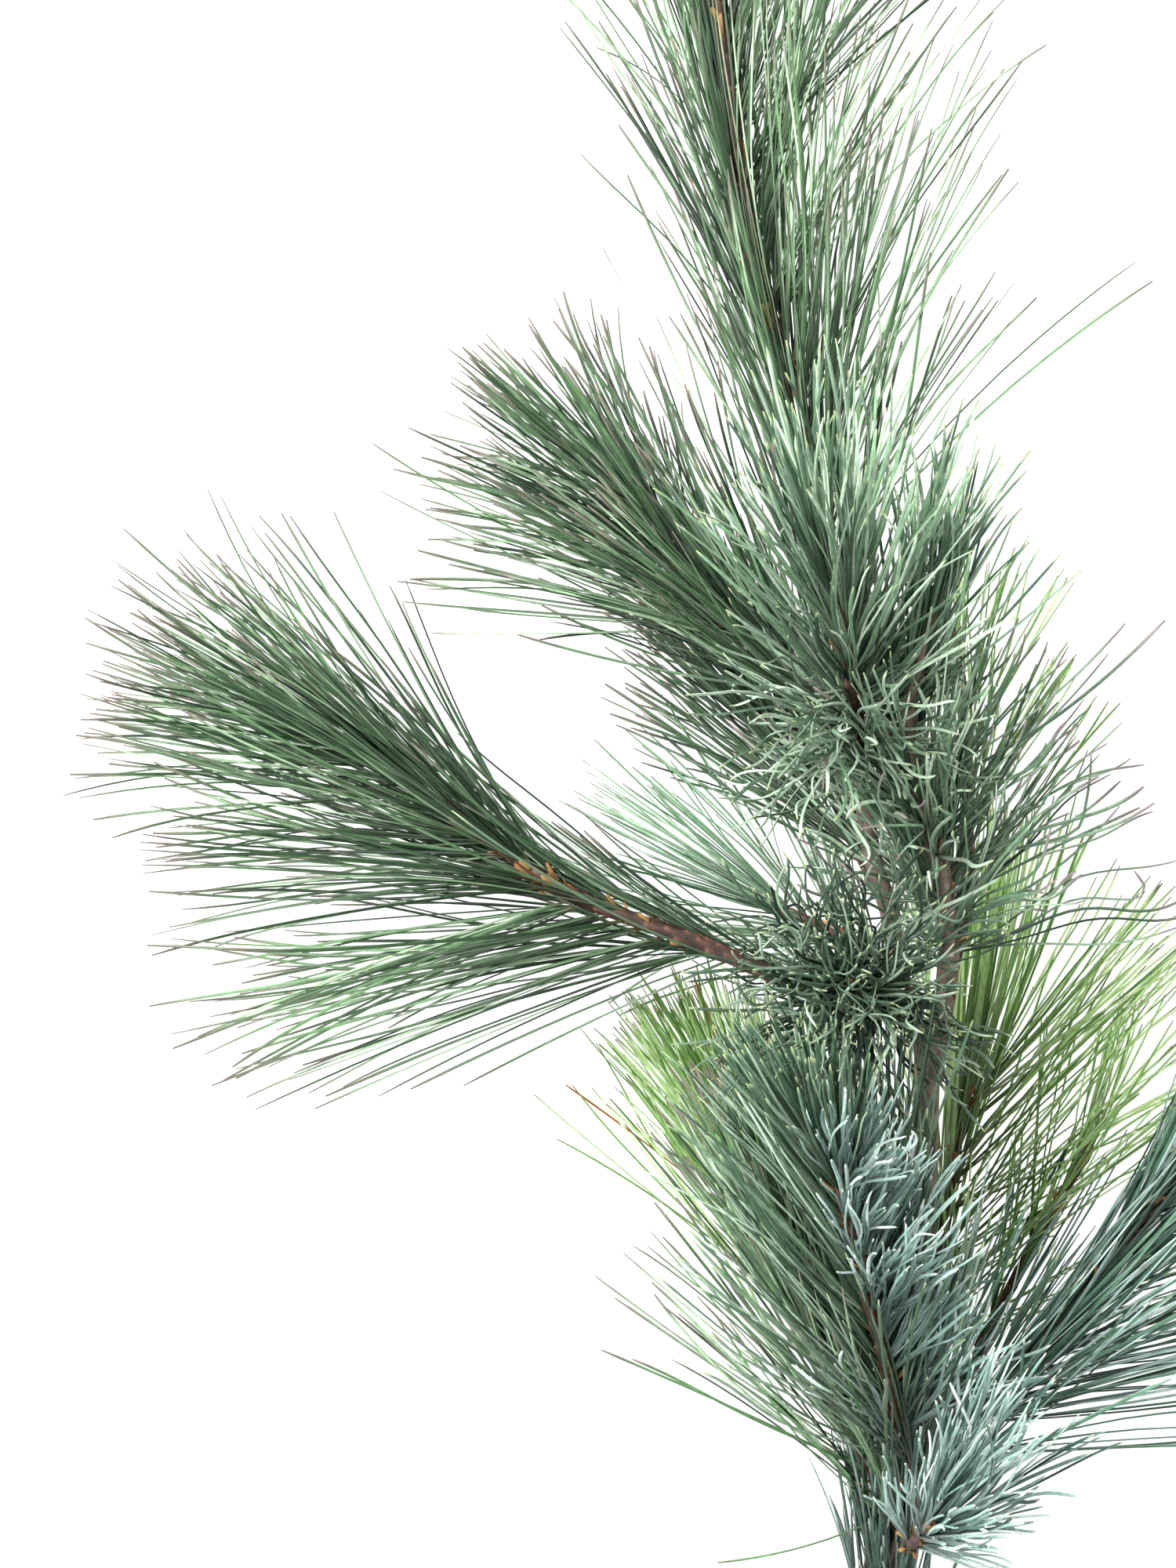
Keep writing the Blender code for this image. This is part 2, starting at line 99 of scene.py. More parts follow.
# How a needle bends between its foot, at 0, and its tip, at 1
STRAIGHT_STATIONS = (0.0, 0.03, 0.1, 0.2, 0.3, 0.4, 0.5, 0.6, 0.7, 0.79, 0.87, 0.94, 1.0)
CURLY_STATIONS = (
    0.0, 0.03, 0.1, 0.19, 0.27, 0.34, 0.41, 0.48, 0.54, 0.6, 0.66, 0.72, 0.77, 0.82, 0.87, 0.92,
    0.96, 1.0,
)
CURLY_WAVE = 0.1  # needles that wave more than this have the curly stations
FAN_SCATTER = 2.0
LENGTH_SCATTER = 0.04
TURNING_BEND = 0.28
BEND_POWER, DROOP_POWER, WAVE_POWER = 1.3, 1.2, 0.8
WAVE_CYCLES = (0.7, 1.7)
HOOK_FROM = (0.5, 0.85)
HOOK_TURN = 0.6
HOOK_LENGTH = 0.15
FLOOR_REACH = (0.6, 6.0)  # how high above the table the lowest needles come to rest
FLOOR_SOFTNESS = 4.0
BOX_MARGIN = 0.02  # how far needles may pass the solids' box, as a share of it

# A needle's blade, across and along it
NEEDLE_SECTION = ((0.0, -0.36), (0.5, 0.06), (0.0, 0.3), (-0.5, 0.06))  # inner edge first
INNER_FACES = np.array((1, 0, 0, 1))
OUTER_EDGE = 2
WIDTH_SCATTER = 0.1
TAPER_PLACES = (0.0, 0.03, 0.1, 0.7, 0.87, 0.95, 1.0)
TAPER_WIDTHS = (0.7, 0.85, 1.0, 1.0, 1.0, 0.92, 0.5)

# A blade's colour map: outer faces at the left and inner ones at the right, each from foot to tip,
# and a needle's height on the map is its tint, from dark to pale
MAP_START, MAP_INNER, MAP_LENGTH = 0.02, 0.5, 0.46
TIP_ON_MAP = 0.96
CAP_PLACES = (0.02, 0.475)
CAP_WIDTH = 0.005
BLADE_BAND = 0.012
OWN_TINT, SHARED_TINT = 0.8, 0.6  # how tints vary in a bundle, and from bundle to bundle
UPPER_SIDE_LIGHT_TINT = 0.08  # painted light and shade: how much paler the needles on the upper side of a twig are, and darker on its lower side
PALEST_TINT = 0.93
DEAD_TINT, DEAD_FROM = 0.985, 0.965
TINT_STOPS = (0.0, 0.5, 0.95)
USUAL_SHADE = 0.33  # where most needles lie between the darkest and the palest
FOOT_SHADE_TIP_LIGHT = ((0.0, 0.6), (0.28, 0.84), (0.6, 1.2), (0.95, 1.5))  # paler from foot to tip: painted shade at the feet for the clumps' shaded cores, and painted light at the tips
SPECKLE_STRETCH = (60.0, 90.0, 1.0)
SPECKLE_GAIN = ((0.3, 0.72), (0.7, 1.25))
FOOT_FADE = ((0.05, 1.0), (0.09, 0.0))
FOOT_COLOUR = (0.15, 0.11, 0.045)
DEAD_COLOUR = (0.58, 0.3, 0.06)
NEEDLE_ROUGHNESS = 0.48

# The papery scales at the feet of the bundles
SCALE_SECTION = ((0.0, -0.06), (0.5, 0.06), (0.0, 0.14), (-0.5, 0.06))
SCALE_STATIONS = (0.0, 0.15, 0.35, 0.6, 0.85, 1.0)
SCALE_SPACING = 7.0  # between single scales
SCALES_FROM = 0.1  # the share of the twig that has none
SCALE_LENGTHS = (3.0, 7.5)
SCALE_WIDTHS = (0.6, 1.4)
SCALE_ANGLES = (12, 50)  # how far they stand off, in degrees
SCALE_SCATTER = 0.15
SCALE_CURL = (0.2, 0.5)  # the mean and its scatter
SCALE_TINTS = (0.1, 0.9)
SCALE_TWIST = 0.5
TUFT_LENGTH = 2.2
TUFT_SPREAD = 0.35

# The wood's shape
BARK_RING = 0.7  # between the rings of the bark's mesh
BARK_SIDES = 20
STEEP = 0.9  # a heading's Z from which the bark's seam turns another way
BARK_WAVES, BARK_LOBES, BARK_PITCH = 9, (2, 9), (-0.35, 0.35)
FOOT_SUNK = 2.5  # how far a twig's foot reaches into what it grows from
FOOT_FLARE = 0.35
FOOT_FLARE_LENGTH = 3.0
WOOD_FLOOR = 0.3  # the least height above the table
FIRST_PEG = -2.0  # pegs are the ridges under the needle bundles
PEG_TAIL = 2.6
PEG_TOP = 0.45
PEG_WIDTH = 0.42  # radians
PEG_SCATTER = 0.2
PEG_HEIGHTS = (0.7, 1.0)
PEG_SPACINGS = (0.7, 1.3)
BUD_LENGTH = 9.0
BUD_SHARES = (0.0, 0.4, 0.75, 1.0)
BUD_SWELLS = (1.0, 1.3, 1.0, 0.15)
BUD_SPACING = 0.45
BUD_RISE = 0.3

# The wood's maps: a flat one, and one that tells the relief and whether it is a bud's, or on the
# cut end the distance from the pith and a mark
WALLS_FROM, WALLS_LENGTH = 0.04, 0.92
CAP_STRIPS = ((0.035, 0.005), (0.965, 0.995))
CAP_RELIEFS = (0.2, 0.5)
CUT_MARK = -1

# The wood's colours, by its relief
BARK_STOPS = (0.1, 0.42, 0.9)
MOTTLE_SCALE, MOTTLE_GAIN = 260.0, ((0.3, 0.55), (0.7, 1.45))
GRAIN_SCALE, GRAIN_GAIN = 1500.0, ((0.3, 0.8), (0.7, 1.2))
BUD_COLOURS = ((0.1, (0.1, 0.04, 0.015)), (0.9, (0.48, 0.27, 0.1)))
GROWTH_RINGS = 6
RING_COLOURS = ((0.0, (0.6, 0.45, 0.27)), (0.9, (0.42, 0.27, 0.14)))
PITH_FADE = ((0.04, 1.0), (0.1, 0.0))
PITH_COLOUR = (0.22, 0.12, 0.06)
RIM_FADE = ((0.84, 0.0), (0.87, 1.0))
BUMP_STRENGTH, BUMP_DEPTH = 0.35, 0.0002
BARK_ROUGHNESS = 0.75

# The two barks: the spacing of their ridges, how far the roughness and the ridges stand out, their
# shares of the relief, and the colours of its crevices, of most of it and of its crests
BARKS = {
    "old": dict(
        spacing=5.75, rise=(0.35, 0.21), relief=(0.75, 0.3),
        colours=((0.055, 0.04, 0.03), (0.22, 0.165, 0.125), (0.4, 0.33, 0.265)),
    ),
    "young": dict(
        spacing=1.15, rise=(0.12, 0.42), relief=(0.25, 0.75),
        colours=((0.016, 0.007, 0.005), (0.085, 0.036, 0.022), (0.22, 0.105, 0.06)),
    ),
}

# What a lot of needles doesn't say itself
NEEDLE_DEFAULTS = dict(
    width=0.84, bend=0.12, wave=0.0, hook=0.0, droop=0.1, sweep=(0, 0, 0), jitter=4.0, wander=0.06,
    vary=0.07, terminal=0, terminal_spread=(0.1, 1.0), fan=4.5, twist=1.1, short=(0, 0.2), crowd=1.0,
    thin=(), strays=(), dead=0, look="dark", tint=(0.42, 0.22), end=1.0, on=None,
)


def lot(start, length, spread, density, lean=((0, 0, 0), (0, 0, 0)), **more):
    """Needles that are alike."""
    given = dict(start=start, length=length, spread=spread, density=density, lean=lean)
    return {**NEEDLE_DEFAULTS, **given, **more}


# Every twig: the points of its centre line, its radius at the foot and at the tip, its bark if not
# young, and its needles in lots.  A lot starts so many millimetres up the twig and ends at a share
# of it.  Its angles in degrees, its leans and "short", how much shorter it is, are those at its foot
# and at its tip, and its density is in bundles a millimetre.  "terminal" counts the bundles at the
# very tip, "crowd" below 1 moves the others towards it, and "fan" spreads a bundle's needles.
# "bend" to "sweep" shape a needle, and "jitter", "wander" and "vary" scatter the bundles' angles,
# bends and lengths.  "thin" lists which side is thinner, by what share, and between which shares of
# the lot if not all along it.  "strays" are single needles: where each starts, its tip, and its bow.
TWIGS = {
    "main_stem": dict(
        route=[
            (20, -353, 4), (18, -304, 29), (17, -262, 52), (19, -234, 58), (23, -204, 63), (28, -164, 67),
            (29, -114, 70),
        ],
        radius=(4.2, 3.3), bark="old",
    ),
    "leader_stem": dict(
        route=[(29, -115, 70), (21, -96, 76), (18, -77, 80), (12, -57, 84), (9, -31, 86)],
        radius=(2.7, 2.3), bark="old",
    ),
    "top_shoot": dict(
        route=[
            (9, -32, 86), (3, 3, 88), (-3, 38, 88), (-10, 70, 86), (-19, 101, 83), (-24, 134, 79),
            (-30, 179, 73), (-34, 219, 66),
        ],
        radius=(2.3, 1.6),
        needles=[lot(
            50, 104, (26, 24), 1.25, ((0.08, 0, 0), (0.15, 0, 0)), crowd=0.95, jitter=11, wander=0.1,
            bend=0.16, vary=0.12, width=0.68, sweep=(0.08, 0, 0), tint=(0.7, 0.26),
            thin=[(LEFT, 1), (UP, 0.8), (DOWN, 0.4)], terminal=14,
            strays=[
                (60, -55, 130, 75, -4, -6, 4), (40, -62, 109, 80, -2, -8, 4), (12, -52, 77, 85, -2, -8, 4),
                (18, -47, 89, 85, -2, -6, 4), (50, 89, 98, 90, -6, 8, 4), (52, 84, 103, 92, -6, 8, 5),
            ],
        ), lot(
            14, 100, (14, 9), 0.55, ((0.03, 0, 0), (0.03, 0, 0)), sweep=(0.04, 0, 0), tint=(0.34, 0.22),
            thin=[(RIGHT, 0.9), (UP, 0.9)],
        )],
    ),
    "right_stem": dict(
        route=[
            (30, -120, 69), (34, -93, 78), (32, -69, 86), (27, -51, 96), (21, -37, 108), (19, -19, 124),
            (22, -2, 136),
        ],
        radius=(3.2, 1.8), bark="old",
        needles=[lot(
            62, 70, (17, 12), 0.26, ((0.06, 0, 0), (-0.02, -0.02, 0)), short=(0.1, 0.25), terminal=5,
            bend=0.14, wave=0.04, jitter=5, thin=[(LEFT, 0.5, 0, 0.6), (RIGHT, 0.4, 0.4, 1)], look="front",
            tint=(0.5, 0.22),
        ), lot(
            34, 62, (60, 44), 0.36, ((0.2, 0, 0), (0.15, 0.1, 0)), end=0.62, fan=8, wave=0.2, hook=0.15,
            jitter=9, width=0.9, thin=[(LEFT, 0.4)], look="mauve", tint=(0.54, 0.24),
            strays=[
                (88, 89, 4, 110, 2, -10, 4), (90, 78, 3, 112, 2, -8, 4), (80, 74, -5, 108, 2, -7, 6),
                (75, 63, -3, 110, 2, -6, 6), (70, 68, -17, 105, 0, -8, 6), (55, 75, -29, 100, 0, 7, 6),
                (50, 73, -38, 98, 2, 8, 6), (45, 79, -46, 96, 2, -10, 6), (42, 66, -48, 92, -2, 10, 8),
                (36, 59, -70, 90, 0, 12, 8), (32, 60, -75, 88, 0, 11, 8),
            ],
        ), lot(
            36, 40, (44, 34), 0.5, ((0, 0.05, 0.2), (0, 0.1, 0.2)), end=0.75, wave=0.32, hook=0.3, jitter=12,
            width=0.95, vary=0.18, fan=12, look="curly", tint=(0.74, 0.24), thin=[(RIGHT, 0.7)],
        ), lot(
            30, 64, (30, 24), 0.6, ((0.06, 0.1, 0), (0.02, 0.1, 0)), end=0.62, bend=0.18, wave=0.06,
            jitter=7, look="front", tint=(0.7, 0.24), thin=[(RIGHT, 0.2)],
        )],
    ),
    "right_back_twig": dict(
        route=[(34, -97, 77), (40, -76, 66), (42, -50, 58), (42, -24, 54), (40, -4, 52)], radius=(1.9, 1.3),
        needles=[lot(
            36, 62, (20, 14), 0.24, ((0.25, 0, 0), (0.25, 0, 0)), end=0.86, width=0.72, look="backlit",
            tint=(0.6, 0.22),
        )],
    ),
    "upper_left_twig": dict(
        route=[
            (10, -38, 85), (4, -26, 92), (-4, -17, 95), (-18, -3, 94), (-34, 11, 90), (-44, 26, 85),
            (-48, 36, 81),
        ],
        radius=(2.1, 1.5),
        needles=[lot(
            18, 90, (25, 26), 0.82, ((0.08, 0.12, 0), (-0.54, -0.13, 0)), short=(0.15, 0.32), terminal=10,
            jitter=6, wander=0.1, bend=0.15, vary=0.13, tint=(0.36, 0.3),
            thin=[((-0.6, -0.8, 0), 0.8, 0.05, 0.75), ((0.7, 0.7, 0), 0.35, 0.4, 1)],
        ), lot(
            26, 66, (26, 26), 0.4, ((0, 0, 0), (-0.05, 0, 0)), end=0.9, tint=(0.36, 0.3),
            thin=[((0.7, 0.7, 0), 0.8)],
            strays=[
                (30, -86, 2, 70, -4, -3, 3), (26, -79, 10, 74, -4, -4, 3), (50, -124, 42, 72, -4, -5, 3),
                (48, -126, 55, 74, -4, -5, 3),
            ],
        )],
    ),
    "upper_front_twig": dict(
        route=[(11, -44, 85), (9, -37, 98), (7, -27, 111), (4, -16, 123), (2, -4, 134), (0, 6, 142)],
        radius=(2.0, 1.5),
        needles=[lot(
            30, 71, (36, 14), 0.95, ((0.04, 0, 0), (-0.02, 0, 0)), bend=0.16, wave=0.05, hook=0.05,
            vary=0.18, width=0.9, look="front", tint=(0.54, 0.28), thin=[((-1, 0.3, 0), 0.8, 0, 0.8)],
            terminal=14,
        ), lot(
            22, 44, (76, 44), 1.1, ((0.1, -0.15, 0.2), (0.08, 0, 0.25)), end=0.68, wave=0.3, hook=0.25,
            jitter=13, width=0.9, vary=0.18, fan=13, look="curly", tint=(0.62, 0.26),
        )],
    ),
    "left_twig": dict(
        route=[
            (24, -104, 74), (8, -100, 79), (-12, -94, 82), (-33, -85, 81), (-55, -77, 79), (-74, -69, 77),
            (-90, -58, 74), (-101, -50, 72), (-112, -40, 70), (-121, -32, 68),
        ],
        radius=(2.4, 1.5),
        needles=[lot(
            76, 106, (26, 24), 1, ((-0.06, -0.23, 0), (-0.18, -0.26, 0)), jitter=6, wander=0.1, bend=0.15,
            vary=0.12, width=0.8, tint=(0.4, 0.3),
            thin=[(UP, 1, 0, 0.55), (SOUTH, 0.65, 0, 0.9), ((0.6, 0.8, 0), 0.5, 0, 0.5)], terminal=14,
        ), lot(
            50, 119, (25, 21), 0.47, ((0, -0.22, 0), (0, -0.33, 0)), end=0.84, crowd=0.9, jitter=5,
            wander=0.1, bend=0.15, vary=0.1, tint=(0.5, 0.3), thin=[(NORTH, 1), (UP, 0.9)],
        ), lot(
            32, 76, (6, 22), 0.3, ((-0.06, -0.03, 0), (-0.02, 0, 0)), end=0.82, jitter=5, tint=(0.34, 0.22),
            thin=[(SOUTH, 1), (UP, 0.8)],
            strays=[
                (100, -116, -2, 76, -3, -1, 4), (118, -137, 36, 74, -3, -2, 4),
                (104, -110, -6, 78, -3, -1, 3), (128, -152, 36, 70, -3, -2, 4),
                (112, -122, 6, 72, -3, -2, 4), (90, -97, -34, 78, -2, -1, 3), (61, -125, -128, 66, 4, 6, 4),
                (58, -140, -128, 66, 4, 6, 4), (55, -116, -126, 66, 3, 5, 4), (53, -101, -125, 66, 3, 4, 4),
                (66, -160, -132, 64, 4, 7, 4), (70, -172, -125, 66, 4, 7, 4),
            ],
        )],
    ),
    "whorl_twig": dict(
        route=[(22, -97, 76), (12, -96, 90), (7, -95, 106), (4, -93, 122), (3, -92, 137)], radius=(1.9, 1.4),
        # The first lot's low tint is painted shade for the dark middle of the rosette
        needles=[lot(
            16, 43, (44, 20), 1.6, terminal_spread=(0.5, 1.6), wave=0.42, hook=0.35, jitter=12, vary=0.22,
            width=0.8, fan=9, look="curly", tint=(0.2, 0.22), terminal=14,
            strays=[
                (15, -102, -47, 125, 0, -20, 10), (30, -41, -93, 118, 0, 5, 5),
                (28, -39, -100, 112, 2, -5, 6),
            ],
        ), lot(
            12, 52, (70, 42), 0.55, ((0.1, -0.4, 0), (0.1, -0.35, 0.1)), end=0.7, wave=0.24, hook=0.2,
            jitter=12, width=0.85, fan=9, look="curly", tint=(0.27, 0.22), thin=[(NORTH, 0.6)],
        )],
    ),
    "mid_left_twig": dict(
        route=[(20, -91, 77), (11, -85, 66), (1, -81, 54), (-10, -76, 46)], radius=(1.6, 1.2),
        needles=[lot(
            14, 88, (34, 20), 0.44, ((0.1, 0.2, 0), (0.06, 0.12, 0)), terminal=6, width=0.7, look="fresh",
            tint=(0.66, 0.24),
        )],
    ),
    "mid_back_twig": dict(
        route=[(18, -76, 80), (14, -67, 64), (8, -51, 52), (-2, -33, 44)], radius=(1.6, 1.2),
        needles=[lot(
            22, 88, (26, 19), 0.95, ((-0.12, 0, 0), (-0.1, 0, 0)), tint=(0.34, 0.22), terminal=14,
        )],
    ),
    "low_back_left_twig": dict(
        route=[(17, -268, 49), (13, -244, 42), (7, -216, 36), (-1, -190, 31), (-8, -168, 29)],
        radius=(2.1, 1.3),
        needles=[lot(
            25, 98, (18, 16), 0.72, ((-0.06, 0, 0), (-0.2, 0, 0)), width=0.72, dead=0.02, look="backlit",
            tint=(0.6, 0.28), thin=[(LEFT, 1, 0, 0.45)], terminal=14,
        )],
    ),
    "lower_fork_stem": dict(
        route=[(17, -280, 43), (20, -265, 57), (23, -252, 66), (24, -249, 68)],
        radius=(2.6, 2.4), bark="old",
    ),
    "lower_left_twig": dict(
        route=[
            (23, -253, 66), (18, -239, 71), (11, -227, 75), (5, -213, 79), (-1, -199, 82), (-6, -183, 84),
            (-9, -168, 84),
        ],
        radius=(1.9, 1.3),
        needles=[lot(
            3, 84, (21, 13), 0.8, ((-0.03, 0, 0), (0, 0, 0)), short=(0, 0.3), thin=[(LEFT, 0.55, 0.1, 0.8)],
            tint=(0.62, 0.26), terminal=14,
            strays=[
                (10, -29, -262, 55, 2, -4, 3), (30, -64, -181, 50, 4, -6, 2), (36, -56, -173, 60, 4, -6, 2),
            ],
        ), lot(
            28, 84, (3, 4), 0.8, ((0.09, 0, 0.12), (0.07, 0, 0.1)), on="main_stem", end=0.46, jitter=2,
            sweep=(-0.14, 0, 0), thin=[(LEFT, 0.7)], look="teal", tint=(0.34, 0.22),
        )],
    ),
    "lower_front_twig": dict(
        route=[
            (24, -250, 67), (25, -235, 78), (20, -219, 90), (15, -198, 103), (9, -178, 114), (6, -165, 121),
            (2, -153, 128), (-1, -141, 136),
        ],
        radius=(2.1, 1.4),
        needles=[lot(
            26, 80, (26, 18), 0.9, ((-0.1, 0, -0.04), (-0.08, 0, 0)), bend=0.14, wave=0.04, jitter=5,
            look="front", tint=(0.36, 0.26), short=(0, 0.4), thin=[(UP, 1, 0, 0.9), (RIGHT, 0.8)],
            terminal=14,
        ), lot(
            8, 92, (17, 18), 0.66, ((0.05, 0, -0.12), (0.04, 0, -0.12)), end=0.75, jitter=5, look="front",
            tint=(0.3, 0.2), thin=[(LEFT, 1), (UP, 1)],
        ), lot(
            36, 44, (34, 26), 1.35, ((0.2, 0.1, 0.1), (0.04, 0.1, 0.4)), fan=6, terminal=6, wave=0.12,
            hook=0.08, jitter=8, width=0.95, vary=0.2, look="frost_and_painted_light",
            thin=[(LEFT, 1, 0, 0.6), (LEFT, 0.8, 0.6, 1), (DOWN, 0.8), ((-0.6, 0, 0.8), 1, 0, 0.5)],
        )],
    ),
    "lower_tuft_twig": dict(
        route=[(23, -255, 64), (23, -252, 78), (23, -248, 91), (24, -244, 102), (25, -240, 111)],
        radius=(1.7, 1.3),
        needles=[lot(
            14, 72, (24, 18), 0.2, ((0.32, 0.8, -0.1), (0.3, 0.65, 0)), bend=0.2, wave=0.08, hook=0.03,
            jitter=7, fan=3.5, width=0.9, vary=0.14, look="frost_and_painted_light", tint=(0.38, 0.34),
            thin=[((-0.8, -0.6, 0), 0.6)], terminal=14,
        ), lot(
            22, 36, (52, 36), 0.72, ((0.35, 0.22, 0.1), (0.3, 0.26, 0.1)), terminal=7, wave=0.14, hook=0.1,
            jitter=9, width=0.95, vary=0.16, fan=8, look="frost_and_painted_light", tint=(0.42, 0.28),
            thin=[((-0.8, -0.6, 0), 0.8, 0, 0.7)],
        )],
    ),
    "low_right_back_twig": dict(
        route=[(19, -229, 59), (27, -211, 50), (34, -185, 43), (40, -152, 37), (43, -134, 35)],
        radius=(2.0, 1.3),
        needles=[lot(
            28, 108, (21, 19), 0.2, ((0.82, 0, 0), (0.75, 0, 0)), dead=0.012, terminal=3, jitter=7,
            width=0.76, look="backlit", tint=(0.7, 0.26),
        ), lot(
            52, 110, (7, 6), 0.36, ((-0.12, 0, 0), (0.04, 0, 0)), terminal=3, width=0.9, look="backlit",
            tint=(0.72, 0.24),
        )],
    ),
    "low_right_mid_twig": dict(
        route=[(29, -236, 56), (40, -214, 48), (54, -190, 41), (67, -168, 36), (77, -152, 33)],
        radius=(1.7, 1.3),
        needles=[lot(
            16, 68, (20, 14), 0.09, ((-0.15, 0.3, 0), (-0.15, 0.25, 0)), terminal=2, width=0.7,
            look="backlit", tint=(0.6, 0.22),
        )],
    ),
    "low_right_twig": dict(
        route=[
            (17, -258, 53), (24, -242, 56), (38, -227, 57), (57, -208, 58), (69, -194, 58), (79, -181, 57),
            (90, -166, 56), (104, -150, 53), (118, -132, 49), (127, -118, 45),
        ],
        radius=(2.3, 1.4),
        needles=[lot(
            12, 108, (26, 17), 0.76, ((0.14, -0.18, 0), (0.12, -0.2, 0)), look="teal", tint=(0.58, 0.25),
            thin=[((-0.7, 0.7, 0), 1, 0.1, 1), ((0.7, -0.7, 0), 0.9, 0, 0.2), (UP, 0.5, 0.3, 1)],
            terminal=14,
        ), lot(
            16, 84, (4, 2), 0.56, fan=3, jitter=2, look="teal", tint=(0.36, 0.2),
            thin=[((0.7, -0.7, 0), 1), (UP, 0.6, 0.15, 0.6)],
        )],
    ),
}

# Tufts of golden papery scales: the distance along a twig, the way that they look, and how many
SCALE_TUFTS = {
    "left_twig": ((104, (0.2, 0.5, 1), 10), (112, (0, -0.3, 1), 4), (137, (0, -0.8, 0.8), 6)),
    "top_shoot": ((120, (-0.3, 0, 1), 5), (84, (0.6, 0, 1), 3), (168, (0.6, 0, 1), 3)),
    "whorl_twig": ((30, (-0.5, 0.9, 0.1), 6),),
    "low_right_back_twig": ((84, (0, 0.2, 1), 8), (104, (0.6, 0, 1), 4)),
    "low_right_mid_twig": ((84, UP, 4),),
    "low_right_twig": ((66, (-0.3, 0.2, 1), 5), (96, (-0.3, 0.2, 1), 5), (124, UP, 4)),
    "lower_tuft_twig": ((20, (-0.8, 0, 0.6), 2),),
    "lower_front_twig": ((20, (-0.3, 0, 1), 3), (64, (-0.3, 0, 1), 3)),
    "low_back_left_twig": ((60, UP, 3), (98, (-0.4, 0, 1), 4)),
    "right_stem": ((70, (0, -0.3, 1), 4),),
}

# What needles look like in different places: the linear colours of the outer and of the inner
# faces, each for the darkest needles and for the palest, how much light they let through, and the
# tip's colour with the shares of the needle where it begins and is full
LOOKS = {
    "dark": (
        ((0.007, 0.026, 0.009), (0.15, 0.29, 0.13)), ((0.02, 0.064, 0.022), (0.47, 0.65, 0.42)),
        0.3, (0.225, 0.19, 0.155), 0.84, 0.98,
    ),
    # Partly painted light: paler than "dark" for the upper needles that catch more of the light
    "front": (
        ((0.014, 0.042, 0.02), (0.23, 0.38, 0.23)), ((0.07, 0.145, 0.085), (0.56, 0.7, 0.54)),
        0.18, (0.36, 0.44, 0.22), 0.96, 0.99,
    ),
    "curly": (
        ((0.01, 0.026, 0.014), (0.19, 0.315, 0.19)), ((0.038, 0.078, 0.044), (0.5, 0.64, 0.48)),
        0.14, (0.38, 0.44, 0.24), 0.95, 0.99,
    ),
    "mauve": (
        ((0.016, 0.046, 0.022), (0.2, 0.34, 0.2)), ((0.08, 0.16, 0.09), (0.48, 0.64, 0.46)),
        0.2, (0.3, 0.24, 0.235), 0.8, 0.95,
    ),
    # Partly the needles' own waxy bloom, partly painted light: paler outer faces for the topmost needles
    "frost_and_painted_light": (
        ((0.026, 0.066, 0.05), (0.42, 0.6, 0.52)), ((0.17, 0.3, 0.26), (0.72, 0.82, 0.79)),
        0.1, (0.6, 0.66, 0.54), 0.97, 0.99,
    ),
    "fresh": (
        ((0.035, 0.11, 0.05), (0.24, 0.42, 0.24)), ((0.12, 0.25, 0.14), (0.54, 0.7, 0.53)),
        0.4, (0.33, 0.34, 0.26), 0.92, 0.99,
    ),
    "backlit": (
        ((0.09, 0.21, 0.04), (0.53, 0.68, 0.36)), ((0.23, 0.41, 0.11), (0.76, 0.86, 0.64)),
        0.72, (0.4, 0.42, 0.24), 0.94, 0.99,
    ),
    "teal": (
        ((0.008, 0.026, 0.016), (0.12, 0.25, 0.16)), ((0.032, 0.085, 0.062), (0.6, 0.8, 0.74)),
        0.22, (0.36, 0.4, 0.34), 0.94, 0.99,
    ),
    "golden": (
        ((0.13, 0.045, 0.016), (0.62, 0.36, 0.11)), ((0.17, 0.07, 0.025), (0.72, 0.46, 0.17)),
        0.3, (0.26, 0.12, 0.05), 0.85, 0.99,
    ),
}


def unit(vectors):
    return vectors / np.maximum(np.linalg.norm(vectors, axis=-1, keepdims=True), 1e-12)


class CentreLine:
    """A smooth line through a twig's route, read by the distance along it."""

    def __init__(self, twig):
        route = np.array(twig["route"], float) + BOUGH_MIDDLE
        held = np.vstack([2 * route[0] - route[1], route, 2 * route[-1] - route[-2]])
        points = []
        for a, b, c, d in zip(held, held[1:], held[2:], held[3:]):
            for t in np.linspace(0, 1, CURVE_STEPS, endpoint=False):
                bend = (2 * a - 5 * b + 4 * c - d) * t ** 2 + (3 * b - a - 3 * c + d) * t ** 3
                points.append(0.5 * (2 * b + (c - a) * t + bend))
        points.append(route[-1])
        self.points = np.array(points)
        gaps = np.linalg.norm(np.diff(self.points, axis=0), axis=1)
        self.distance = np.concatenate([[0.0], np.cumsum(gaps)])
        self.length = self.distance[-1]
        self.headings = unit(np.gradient(self.points, self.distance, axis=0))
        self.radii = twig["radius"]

    def at(self, along):
        return np.stack([np.interp(along, self.distance, axis) for axis in self.points.T], -1)

    def heading(self, along):
        return unit(np.stack([np.interp(along, self.distance, axis) for axis in self.headings.T], -1))

    def radius(self, along):
        return np.interp(along, (0, self.length), self.radii)


def add_object(name, data):
    added = bpy.data.objects.new(name, data)
    bpy.context.scene.collection.objects.link(added)
    return added


